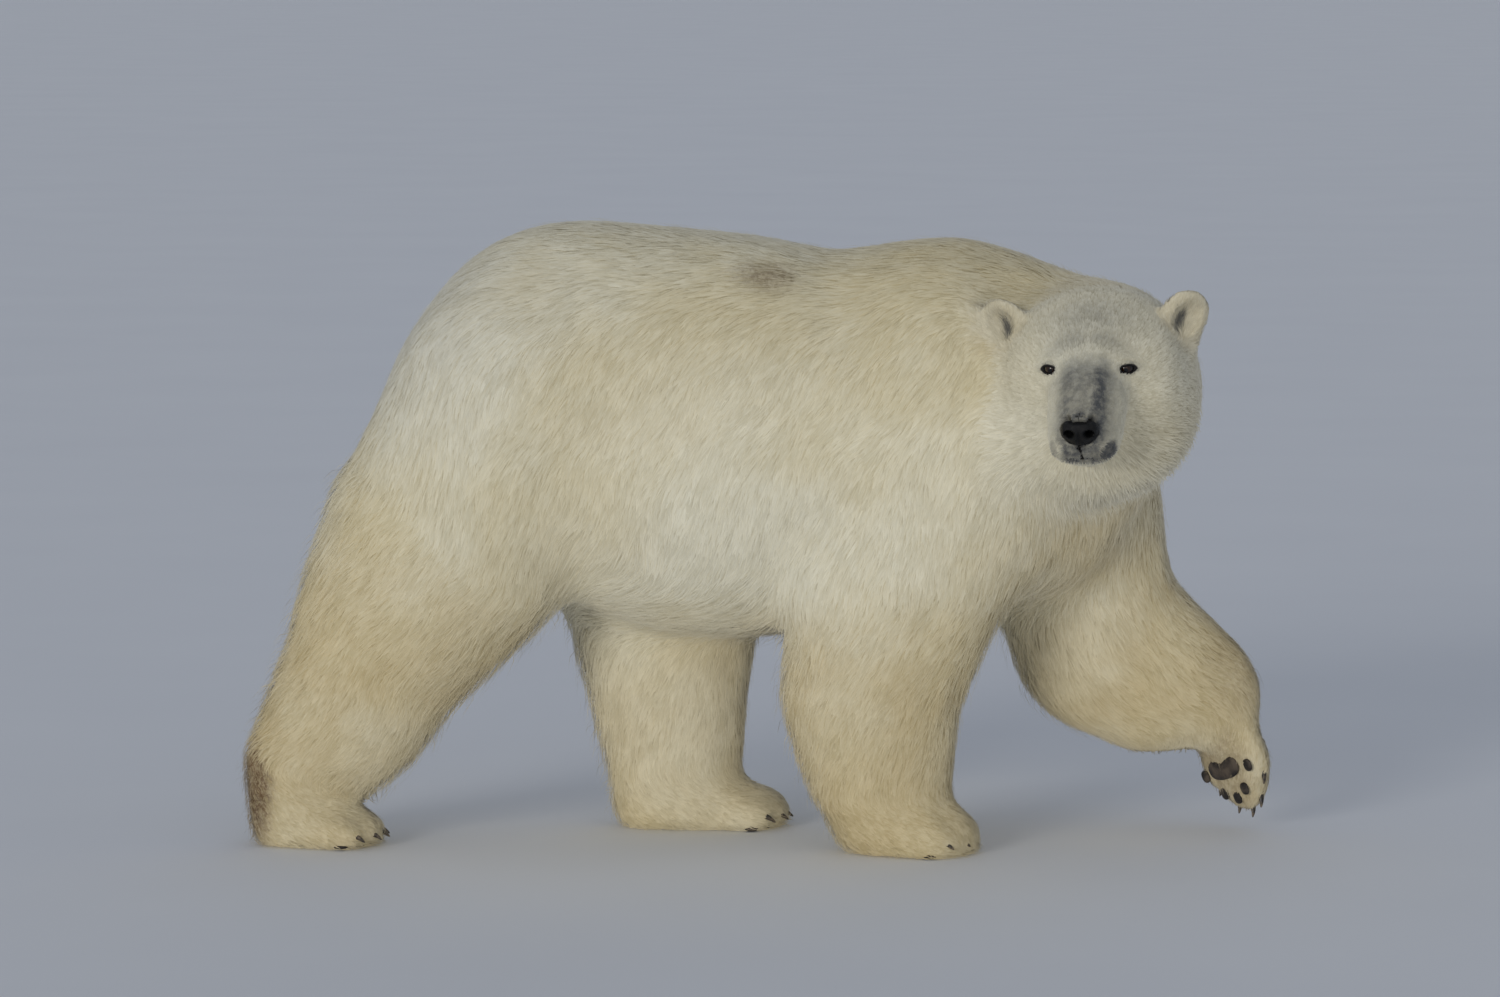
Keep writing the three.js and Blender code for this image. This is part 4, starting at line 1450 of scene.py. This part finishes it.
@dataclass
class Nose:
    """The nose leather, with two comma-shaped nostrils and the groove between them.

    Attributes:
        voxel: side of the first even squares, in metres.
        nostril: a nostril's middle, to the side and up, in the head's millimetres.
        wing: the outer end of its slit.
        profile: heights from the leather's tip to its top edge, each with its half width.
    """

    voxel: float = 0.0013
    nostril: tuple[float, float] = (17.5, -43.5)
    wing: tuple[float, float] = (31.0, -52.0)
    profile: tuple[tuple[float, float], ...] = (
        (-84, 1.0), (-77, 5), (-70, 14), (-62, 26), (-53, 35), (-44, 37), (-34, 35), (-26, 31), (-21, 25),
        (-17, 5))

    @classmethod
    def outline(cls, local: np.ndarray) -> np.ndarray:
        """One on the leather's edge, less inside it and more outside, seen from in front."""
        wide = np.interp(local[:, 2], *np.array(cls.profile).T, left=0.5, right=0.5)
        return np.abs(local[:, 1]) / wide

    def build(self) -> bpy.types.Object:
        """Smooth the solid's shape, sink its corners under the skin and press the nostrils into it.

        Returns:
            The piece.
        """
        bm = remeshed(merged(["nose"]), self.voxel)
        surface = Surface.of(bm)
        for _ in range(10):
            surface.points = surface.relaxed(surface.points, 1, 0.6)
            surface.points = surface.relaxed(surface.points, 1, -0.6)
        surface.points = surface.relaxed(surface.points, 4, 0.5)
        local = HEAD.into(surface.points)
        x, y, z = local.T
        side = np.abs(y)
        edge = self.outline(local)
        hole = np.exp(-(((side - self.nostril[0]) / 7.6) ** 2 + ((z - self.nostril[1]) / 6.4) ** 2) ** 1.5)
        # The slit runs out and down from the opening along the wing.
        reach = np.array(self.wing) - self.nostril
        beside, above = side - self.nostril[0], z - self.nostril[1]
        at = np.clip((beside * reach[0] + above * reach[1]) / (reach @ reach), 0, 1)
        slit = bell(np.hypot(beside - at * reach[0], above - at * reach[1]), 0, 2.4) * (1 - 0.5 * at)
        ridge = bell(np.hypot(beside / 1.2, above), 10.5, 3.0) * 1.6
        groove = bell(y, 0, 1.5) * ease(z, -34, -46) * 2.6
        sunk = np.maximum(hole * 15, slit * 7) + groove - ridge * (edge < 1)
        front = ease(x, 174, 184)
        local[:, 0] -= sunk * front + 11 * ease(edge, 0.93, 1.18) - 1.2 * bell(edge, 0.82, 0.12)
        local[:, 2] -= 8 * ease(z, -26, -18)
        surface.points = HEAD.out(local)
        surface.points = surface.relaxed(surface.points, 2, 0.4)
        mesh = written("nose_leather", surface.points, np.full(len(surface.faces), 3), surface.faces.ravel())
        return piece("nose_leather", mesh, NOSE_LEATHER, ["nose"])


@dataclass
class Claws:
    """The claws of one foot, smoothed from their solids.

    Attributes:
        foot: the foot's name.
        count: how many claws it has.
        rounds: how many times the solids are divided.
    """

    foot: str
    count: int = 5
    rounds: int = 2

    def build(self) -> bpy.types.Object:
        """Round the solids and hold each point's share of the claw's length.

        Returns:
            The piece.
        """
        whole, shares = bmesh.new(), []
        nodes = [f"claw_{self.foot}_{i}" for i in range(1, self.count + 1)]
        for node in nodes:
            bm = modified(merged([node]), "SUBSURF", levels=self.rounds, render_levels=self.rounds)
            local = LEGS[self.foot].sole.into(np.array([v.co for v in bm.verts]))[:, 0]
            shares.append((local - local.min()) / np.ptp(local))
            mesh = bpy.data.meshes.new("claw")
            bm.to_mesh(mesh)
            bm.free()
            whole.from_mesh(mesh)
            bpy.data.meshes.remove(mesh)
        mesh = bpy.data.meshes.new(f"claws_{self.foot}")
        whole.to_mesh(mesh)
        whole.free()
        hold(mesh, {"along": np.concatenate(shares)})
        mesh.shade_smooth()
        return piece(f"claws_{self.foot}", mesh, HORN, nodes)


@dataclass(frozen=True)
class Pad:
    """One pad of a sole, in the sole's millimetres.

    Attributes:
        middle: its middle, forward and to the left.
        half: its half length, width and height.
        waist: how much the middle of its rear edge is drawn in, as a share of the half length.
    """

    middle: tuple[float, float]
    half: tuple[float, float, float]
    waist: float = 0.0


    def pillow(self, a: float, b: float, c: float, lift: float) -> tuple[float, float, float]:
        """Where a point of a unit ball goes on the pad.

        Args:
            a: the point's place forward.
            b: its place to the left.
            c: its height.
            lift: the pad's height over the sole's own plane.

        Returns:
            The point in the sole's millimetres.
        """
        power, level = 2.6, 0.6  # how square its outline is, and where its top and bottom flatten
        square = 1 / max(abs(a) ** power + abs(b) ** power, 1e-9) ** (1 / power) if abs(c) < 0.99 else 1.0
        ring = math.sqrt(max(1 - c * c, 0.0))
        a, b = a * (ring * square if ring else 1), b * (ring * square if ring else 1)
        notch = self.waist * max(0.0, 1 - abs(b) * 1.6) * (a < 0) * abs(a)
        flat = c if abs(c) < level else math.copysign(level + (abs(c) - level) * 0.7, c)
        (x, y), half = self.middle, self.half
        return x + half[0] * (a + notch), y + half[1] * b, lift + half[2] * flat


@dataclass
class Pads:
    """The bare pads under one paw.

    Attributes:
        foot: the foot's name.
        skin: the skin that they lie under.
        reach: how far under the sole its surface is looked for from, in millimetres.
    """

    foot: str
    skin: Skin
    reach: float = 70.0

    def parts(self) -> list[Pad]:
        """Lay out the pads: one behind the toes, one under each toe, and one at a hind foot's heel.

        Returns:
            The pads.
        """
        leg = LEGS[self.foot]
        made = [Pad((leg.toe_row - 58, 0), (22, 46, 7), 0.5)]
        for i in range(-2, 3):
            x, y, _ = leg.toe_centre(i)
            made.append(Pad((x + 5, y), (leg.toe[0] * 0.27, leg.toe[1] * 0.45, 5.5)))
        if self.foot.startswith("hind"):
            made.append(Pad((leg.toe_row - 150, 0), (22, 22, 6)))
        return made

    def build(self) -> bpy.types.Object:
        """Lay pillows on the sole's own surface, sunk in deeper on the raised paw.

        Returns:
            The piece.
        """
        whole, sole = bmesh.new(), LEGS[self.foot].sole
        hanging = self.foot == "fore_left"
        for part in self.parts():
            start = Vector(sole.out([*part.middle, -self.reach]))
            hit = self.skin.solids.ray_cast(start, Vector(sole.axes()[2]), 0.12)[0]
            level = sole.into(np.array(hit))[2] if hit else 0.0
            lift = level + (-0.5 if hanging else part.half[2] + 0.3)
            made = bmesh.ops.create_uvsphere(whole, u_segments=28, v_segments=16, radius=1.0)["verts"]
            for v in made:
                v.co = Vector(sole.out(part.pillow(*v.co, lift)))
        bmesh.ops.recalc_face_normals(whole, faces=whole.faces)
        mesh = bpy.data.meshes.new(f"pads_{self.foot}")
        whole.to_mesh(mesh)
        whole.free()
        mesh.shade_smooth()
        return piece(f"pads_{self.foot}", mesh, PAD_LEATHER, [])


@dataclass
class Lie:
    """Which way the coat lies at each point of the skin.

    Attributes:
        skin: the skin.
        dice: the source of chance.
        wide_turn: how far the coat wanders over wide areas, in radians.
        small_turn: how far it wanders over small ones.
    """

    skin: Skin
    dice: np.random.Generator
    wide_turn: float = 0.09
    small_turn: float = 0.07

    def __post_init__(self) -> None:
        """Find the way at each point, blend the body's parts into each other and let it wander a little."""
        skin, s = self.skin, self.skin.surface
        self.normals = s.normals(4)
        names = np.array(skin.names)[skin.owner]
        way = self.on_trunk(skin.outer, self.normals)
        for name in np.unique(names):
            mine = names == name
            points, normals = skin.outer[mine], self.normals[mine]
            if name == "neck":
                way[mine] = self.on_neck(points, normals)
            elif name == "head":
                way[mine] = self.on_head(points)
            elif name == "tail":
                way[mine] = TAIL.axes()[0]
            elif name.startswith("ear"):
                place = EARS[name[4:]]
                way[mine] = place.axes()[2] + 0.5 * unit(points - place.out([0, 0, -10]))
            elif name.endswith("paw"):
                axes = LEGS[name[:-4]].sole.axes()
                way[mine] = axes[0] - 0.55 * axes[2]
            elif name != "trunk":
                way[mine] = self.on_leg(points, "_".join(name.split("_")[:2]))
        way = across(way, self.normals)
        calm = 1 - 0.8 * ease(HEAD.into(skin.outer)[:, 0], -80, 0)
        way = across(s.relaxed(way, 26, 0.6 * calm), self.normals)
        way = across(s.relaxed(way, 3, 0.5), self.normals)
        wander = s.relaxed(self.dice.normal(size=len(way)), 40, 0.6)
        small = s.relaxed(self.dice.normal(size=len(way)), 8, 0.6)
        turn = self.wide_turn * wander / wander.std() + self.small_turn * small / small.std()
        turn *= 1 - 0.5 * skin.face
        beside = np.cross(self.normals, way)
        self.way = unit(way * np.cos(turn)[:, None] + beside * np.sin(turn)[:, None])

    @staticmethod
    def on_trunk(points: np.ndarray, normals: np.ndarray) -> np.ndarray:
        """Back along the spine, down and back over the ribs, straight down the chest and rump.

        Args:
            points: the points, in metres.
            normals: the skin's normals there.

        Returns:
            The way at each.
        """
        flank = ease(1 - np.abs(normals[:, 2]), 0.08, 0.8)
        rump = ease(points[:, 0], -0.42, -0.66)
        chest = ease(points[:, 0], 0.42, 0.62)
        low = ease(points[:, 2], 0.80, 0.55)
        back = 1.0 - 0.45 * flank - 0.45 * rump - 0.85 * chest - 0.35 * low * flank
        down = 0.1 + 1.05 * flank + 0.6 * rump + 0.9 * chest
        return np.stack([-back, np.zeros(len(points)), -down], 1)

    @staticmethod
    def on_neck(points: np.ndarray, normals: np.ndarray) -> np.ndarray:
        """From the head back to the shoulders, falling more at the sides and throat."""
        flank = ease(1 - normals[:, 2], 0.1, 0.9)
        return np.stack([-0.62 + 0.2 * flank, 0.62 - 0.2 * flank, -0.2 - 0.95 * flank], 1)

    @staticmethod
    def on_head(points: np.ndarray) -> np.ndarray:
        """Away from the nose all round, and down over the ruff.

        Args:
            points: the points, in metres.

        Returns:
            The way at each.
        """
        local = HEAD.into(points)
        away = unit(local - np.array([215, 0, -38.0]))
        ruff = ease(local[:, 0], -20, -120) * ease(local[:, 2], 10, -60)
        away[:, 2] -= 0.75 * ruff
        return away @ HEAD.axes()

    @staticmethod
    def on_leg(points: np.ndarray, foot: str) -> np.ndarray:
        """Along the leg to the paw, a little to the rear of it.

        Args:
            points: the points, in metres.
            foot: the leg's name.

        Returns:
            The way at each.
        """
        line = (np.array(LEGS[foot].line, float) - MIDDLE) * MM
        best = np.full(len(points), np.inf)
        way = np.zeros_like(points)
        for a, b in zip(line[:-1], line[1:]):
            run = b - a
            at = np.clip((points - a) @ run / (run @ run), 0, 1)
            gap = np.linalg.norm(points - a - np.outer(at, run), axis=1)
            nearer = gap < best
            way[nearer], best = unit(run), np.minimum(gap, best)
        rearward = 0.05 if foot == "fore_left" else 0.42
        return way * 0.9 + np.array([-rearward, 0, -0.25])


@dataclass
class Coat:
    """The coat: thin overlapping locks, each a bent three-sided spike that lies along the body.

    Attributes:
        skin: the skin that they stand on.
        most: locks in one piece, at the most.
        patch: size of a lock's patch on the colour map.
        clump: locks to a clump, roughly.
        pull: how far the tips of a clump draw together.
        round_off: how much of a lock's own roundness its shading keeps.
        wool: share of the locks that are broad, low underwool.
        strays: share of them that are thin and stand out of the rest.
        flatness: a lock's height as a share of half its width.
        bend: where along a lock its middle section is, as a share of its run.
        floor: the lowest height of any point, in metres.
        dice: the source of chance.
    """

    skin: Skin
    most: int = 19500
    patch: float = 0.003
    clump: int = 14
    pull: float = 0.16
    round_off: float = 0.22
    wool: float = 0.38
    strays: float = 0.08
    flatness: float = 0.36
    bend: float = 0.42
    floor: float = 0.003
    dice: np.random.Generator = field(default_factory=lambda: np.random.default_rng(7))

    def grow(self) -> None:
        """Pick the roots over the skin and read what the skin says there."""
        skin, s = self.skin, self.skin.surface
        lie = Lie(skin, self.dice)
        area = np.linalg.norm(s.face_normals(), axis=1) / 2
        held = skin.spacing[s.faces].mean(1) * MM
        bare = np.maximum(skin.bare, skin.nose)[s.faces].mean(1)
        thin = 1 - 0.25 * skin.dusk[s.faces].mean(1)
        wanted = area / held**2 * thin * (bare < 0.45) * self.clear()
        total = np.cumsum(wanted)
        counts = np.diff(np.floor(np.concatenate([[0.0], total])).astype(int))
        face = np.repeat(np.arange(len(s.faces)), counts)
        n = len(face)
        u, v = self.dice.random(n), self.dice.random(n)
        over = u + v > 1
        u, v = np.where(over, 1 - u, u), np.where(over, 1 - v, v)
        drawn = self.dice.random(n)
        self.woolly, self.astray = drawn < self.wool, drawn > 1 - self.strays
        # Underwool stands near the middles of the skin's faces, so that it leaves no gaps.
        pull = np.where(self.woolly, 0.6, 0.0)
        u, v = u + (1 / 3 - u) * pull, v + (1 / 3 - v) * pull
        self.share = np.stack([1 - u - v, u, v], 1)
        self.face = face

        def read(values: np.ndarray) -> np.ndarray:
            """Read the skin's values at each root, from the corners of its face.

            Args:
                values: one row for each point of the skin.

            Returns:
                One row for each root.
            """
            picked = values[s.faces[face]]
            return (picked * self.share.reshape(n, 3, *[1] * (picked.ndim - 2))).sum(1)

        self.root = read(s.points)
        self.normal = unit(read(lie.normals))
        self.way = across(read(lie.way), self.normal)
        self.depth, self.length, self.width, self.loose, self.fringe = (
            read(k) for k in (skin.depth, skin.length, skin.width, skin.looseness, skin.fringe))
        self.tints = {k: read(getattr(skin, k)) for k in TINTS}
        self.owner = skin.owner[s.faces[face, 0]]
        self.shape()
        log.info("coat: %d locks", n)

    def clear(self) -> np.ndarray:
        """Keep the eyes' openings clear.

        Returns:
            Nothing at each face of the skin in an opening, and one at the others.
        """
        s = self.skin.surface
        middle = s.points[s.faces].mean(1)
        out = np.ones(len(middle))
        for eye in self.skin.eyes:
            u, v, w = eye.flat(middle).T
            out *= ~((eye.bare(u, v) < 1.04) & (np.abs(w) < 30))
        return out

    def shape(self) -> None:
        """Bend each lock from its root over the skin to its tip, and draw each clump's tips together."""
        n, dice = len(self.root), self.dice
        hang = self.fringe * ~self.woolly
        tall = self.depth * MM * (1 + 2.2 * hang)
        long = self.length * MM * dice.uniform(0.75, 1.2, n) * (1 + 0.5 * hang)
        turn = dice.normal(0, 1, n) * (0.05 + self.loose * 0.5)
        beside = np.cross(self.normal, self.way)
        way = self.way * np.cos(turn)[:, None] + beside * np.sin(turn)[:, None]
        odd = np.maximum(dice.normal(0, 1, n), -1.2)
        rise = tall * (0.95 + odd * self.loose)
        rise = np.where(self.woolly, tall * (0.80 + 0.03 * odd), rise)
        stray_rise = tall * dice.uniform(1.3, 2.5, n) * (1 - 0.35 * self.tints["face"])
        rise = np.where(self.astray, stray_rise, rise)
        run = np.sqrt(np.maximum(long**2 - rise**2, (0.5 * long) ** 2))
        tree = self.skin.surface.tree()
        middle, self.mid_normal = self.laid(tree, self.root + way * (run * self.bend)[:, None], rise * 0.72)
        tip, self.tip_normal = self.laid(tree, self.root + way * run[:, None], rise)
        leaders = np.flatnonzero(dice.random(n) < 1 / self.clump)
        finder = KDTree(len(leaders))
        for k, p in enumerate(middle[leaders]):
            finder.insert(Vector(p), k)
        finder.balance()
        mine = leaders[np.array([finder.find(Vector(p))[1] for p in middle])]
        pull = (self.pull * dice.uniform(0.5, 1.2, n))[:, None]
        near = np.linalg.norm(middle - middle[mine], axis=1) < self.length * MM * 0.6
        pull *= near[:, None]
        tip = tip + (tip[mine] - tip) * pull
        middle = middle + (middle[mine] - middle) * pull * 0.35
        self.points = (self.root - self.normal * (0.06 * tall)[:, None], middle, tip)
        for line in self.points:
            line[:, 2] = np.maximum(line[:, 2], self.floor)
        self.beside = across(np.cross(self.normal, tip - self.root), self.normal)
        uneven = (0.20 * dice.normal(size=n) + 0.16 * dice.normal(size=n)[mine]) * (0.75 + self.fringe)
        self.shade = np.clip(0.5 + uneven, 0, 1)

    @staticmethod
    def laid(tree: BVHTree, points: np.ndarray, height: np.ndarray) -> tuple[np.ndarray, np.ndarray]:
        """Lay points over the skin.

        Args:
            tree: the skin.
            points: the points.
            height: how high each goes over the skin, in metres.

        Returns:
            The points so laid, and the skin's normals under them.
        """
        found = [tree.find_nearest(Vector(p)) for p in points]
        base = np.array([f[0] for f in found])
        normal = np.array([f[1] for f in found])
        return base + normal * height[:, None], normal

    def build(self) -> None:
        """Write the locks in pieces, by part of the body and from front to rear."""
        names = np.array(self.skin.names)[self.owner]
        groups = {
            "trunk": ["trunk", "tail"], "neck": ["neck"], "head": ["head", "ear_left", "ear_right"],
            **{foot: [n for n in self.skin.names if n.startswith(foot)] for foot in LEGS},
        }
        for group, nodes in groups.items():
            mine = np.flatnonzero(np.isin(names, nodes))
            mine = mine[np.argsort(-self.root[mine, 0], kind="stable")]
            for k, part in enumerate(np.array_split(mine, math.ceil(len(mine) / self.most)), 1):
                self.write(f"coat_{group}_{k}", part, nodes)

    def write(self, name: str, part: np.ndarray, nodes: list[str]) -> None:
        """Write one piece of the coat.

        Args:
            name: the piece's name.
            part: the locks in it.
            nodes: the solids that it lies over.
        """
        n = len(part)
        root, middle, tip = (p[part] for p in self.points)
        beside, up = self.beside[part], self.normal[part]
        broad = np.where(self.woolly[part], 3.4, np.where(self.astray[part], 0.55, 1.0))
        half = (self.width[part] * broad * MM * self.dice.uniform(0.7, 1.25, n) / 2)[:, None]
        lift = half * self.flatness * np.where(self.woolly[part], 0.25, 1.0)[:, None]
        up_mid = self.mid_normal[part]
        points = np.stack([
            root - beside * half * 0.75, root + beside * half * 0.75, root + up * lift,
            middle - beside * half, middle + beside * half, middle + up_mid * lift, tip], 1)
        k = self.round_off * np.where(self.woolly[part], 0.4, 1.0)[:, None]
        tip_normal = unit(up_mid + self.tip_normal[part])
        normals = unit(np.stack([
            up - beside * k, up + beside * k, up,
            up_mid - beside * k, up_mid + beside * k, up_mid, tip_normal], 1))
        # Seven points make three long sides, three that close at the tip, and the root's end.
        sides = [0, 3, 5, 2, 2, 5, 4, 1, 1, 4, 3, 0]
        ends = [3, 6, 5, 5, 6, 4, 4, 6, 3, 0, 2, 1]
        corners = (np.array(sides + ends)[None] + (np.arange(n) * 7)[:, None]).ravel()
        counts = np.tile([4, 4, 4, 3, 3, 3, 3], n)
        mesh = written(name, points.reshape(-1, 3), counts, corners)
        hold(mesh, {
            "along": np.tile([0, 0, 0, 0.55, 0.55, 0.55, 1.0], n),
            "shade": np.repeat(self.shade[part], 7),
            "side": np.tile([-1, 1, 0, -1, 1, 0, 0], n),
            **{key: np.repeat(values[part], 7) for key, values in self.tints.items()}})
        self.lay_map(mesh, part)
        mesh.normals_split_custom_set_from_vertices(normals.reshape(-1, 3).tolist())
        made = piece(name, mesh, COAT, nodes)
        made.visible_shadow = False  # hairs are clear and let light past; the skin casts the shadows

    def lay_map(self, mesh: bpy.types.Mesh, part: np.ndarray) -> None:
        """Give each lock a patch of the map, at its root's place on the skin's own unwrapping.

        Args:
            mesh: the piece's mesh.
            part: the locks in it.
        """
        spots = (self.unwrapped[self.face[part]] * self.share[part][..., None]).sum(1)
        thirds = [(j / 3, (j + 1) / 3) for j in range(3)]
        root, waist, tip = 0.15, 0.6, 1.0  # heights in the patch
        cells = [cell for a, b in thirds for cell in ((a, root), (a, waist), (b, waist), (b, root))]
        cells += [cell for a, b in thirds for cell in ((a, waist), ((a + b) / 2, tip), (b, waist))]
        cells += [(0.0, 0.0), (0.5, root), (1.0, 0.0)]
        patch = (np.array(cells) - 0.5) * self.patch
        layer = mesh.uv_layers.new(name="OFBake")
        layer.uv.foreach_set("vector", (spots[:, None] + patch[None]).astype(np.float32).ravel())

    def unwrap(self, skin: bpy.types.Object) -> None:
        """Unwrap the skin and keep where each face's corners lie, within the margin of a patch.

        Args:
            skin: the skin's piece, which is left without the unwrapping.
        """
        bpy.context.view_layer.objects.active = skin
        skin.select_set(True)
        bpy.ops.object.mode_set(mode="EDIT")
        bpy.ops.mesh.select_all(action="SELECT")
        bpy.ops.uv.smart_project(
            angle_limit=math.radians(75), island_margin=0.002, rotate_method="AXIS_ALIGNED")
        bpy.ops.object.mode_set(mode="OBJECT")
        skin.select_set(False)
        layer = skin.data.uv_layers.active
        spots = np.empty(len(skin.data.loops) * 2, np.float32)
        layer.uv.foreach_get("vector", spots)
        spots = spots.reshape(-1, 3, 2)
        low, high = spots.min((0, 1)), spots.max((0, 1))
        self.unwrapped = 0.01 + 0.98 * (spots - low) / (high - low)
        skin.data.uv_layers.remove(layer)


@dataclass(frozen=True)
class Lamp:
    """A broad, far light.

    Attributes:
        name: its name.
        way: the direction that it comes from.
        spread: how wide it is in the sky, in degrees.
        strength: its strength.
        tone: its colour.
    """

    name: str
    way: tuple[float, float, float]
    spread: float
    strength: float
    tone: Colour

    def light(self) -> None:
        """Put it in the scene."""
        data = bpy.data.lights.new(self.name, "SUN")
        data.angle, data.energy, data.color = math.radians(self.spread), self.strength, self.tone
        lamp = bpy.data.objects.new(self.name, data)
        lamp.rotation_euler = Vector(self.way).to_track_quat("Z", "Y").to_euler()
        bpy.context.scene.collection.objects.link(lamp)


@dataclass
class Studio:
    """The floor, the soft lights and the camera.

    Attributes:
        target: the point that the camera looks at, in metres.
        azimuth: the camera's turn round the animal, in degrees.
        elevation: its height above the horizon, in degrees.
        distance: how far off it is.
        frame_width: width of the view at the target.
        sky: the colour of the light from all round, from 0 to 255.
        sky_strength: its strength.
        lamps: the lights. The one from below stands for what a pale floor throws back up.
    """

    target: tuple[float, float, float] = (-0.0206, 0.1211, 0.6527)
    azimuth: float = 5.0
    elevation: float = 6.0
    distance: float = 11.0
    frame_width: float = 2.85
    sky: Colour = (200, 208, 222)
    sky_strength: float = 0.5
    lamps: tuple[Lamp, ...] = (
        Lamp("key", (-0.45, -0.88, 0.22), 22.0, 1.04, (1.0, 0.97, 0.92)),
        Lamp("fill", (0.25, -1.0, 0.03), 50.0, 0.36, (1.0, 0.98, 0.95)),
        Lamp("bounce", (0.15, -0.55, -0.80), 60.0, 0.36, (1.0, 0.98, 0.94)),
        Lamp("rear", (0.10, 0.98, 0.16), 60.0, 0.26, (0.97, 0.98, 1.0)),
    )

    def camera(self) -> None:
        """A long lens, level with the animal's flank."""
        a, e = math.radians(self.azimuth), math.radians(self.elevation)
        back = Vector((math.sin(a) * math.cos(e), -math.cos(a) * math.cos(e), math.sin(e)))
        data = bpy.data.cameras.new("camera")
        data.sensor_width = 36.0
        data.lens = data.sensor_width * self.distance / self.frame_width
        data.clip_end = 1500.0
        eye = bpy.data.objects.new("camera", data)
        eye.location = Vector(self.target) + back * self.distance
        eye.rotation_euler = back.to_track_quat("Z", "Y").to_euler()
        bpy.context.scene.collection.objects.link(eye)
        bpy.context.scene.camera = eye

    def floor(self) -> None:
        """A wide pale floor that the soles stand on."""
        bm = bmesh.new()
        bmesh.ops.create_grid(bm, x_segments=8, y_segments=8, size=400.0)
        mesh = bpy.data.meshes.new("floor")
        bm.to_mesh(mesh)
        bm.free()
        mesh.materials.append(FloorFinish("pale_floor", 0.9).material())
        ground = bpy.data.objects.new("floor", mesh)
        bpy.context.scene.collection.objects.link(ground)
        ground.visible_shadow = False  # so that the lamp below it can light the animal

    def build(self) -> None:
        """Set everything up round the animal."""
        self.camera()
        self.floor()
        for lamp in self.lamps:
            lamp.light()
        world = bpy.data.worlds.new("studio")
        world.use_nodes = True
        backdrop = world.node_tree.nodes["Background"]
        backdrop.inputs["Color"].default_value = linear(*self.sky)
        backdrop.inputs["Strength"].default_value = self.sky_strength
        bpy.context.scene.world = world
        bpy.context.scene.view_settings.view_transform = "Standard"


def main() -> None:
    """Build the animal from the skin outwards, then the studio."""
    logging.basicConfig(level=logging.INFO, format="%(message)s")
    Studio().build()
    eyes = [Eye(side) for side in SIDES]
    skin = Skin(eyes, Mouth())
    coat = Coat(skin)
    coat.unwrap(skin.build())
    coat.grow()
    coat.build()
    Nose().build()
    for foot in LEGS:
        Claws(foot).build()
        Pads(foot, skin).build()
    for eye in eyes:
        eye.ball()
        eye.rim()


if __name__ == "__main__":
    main()
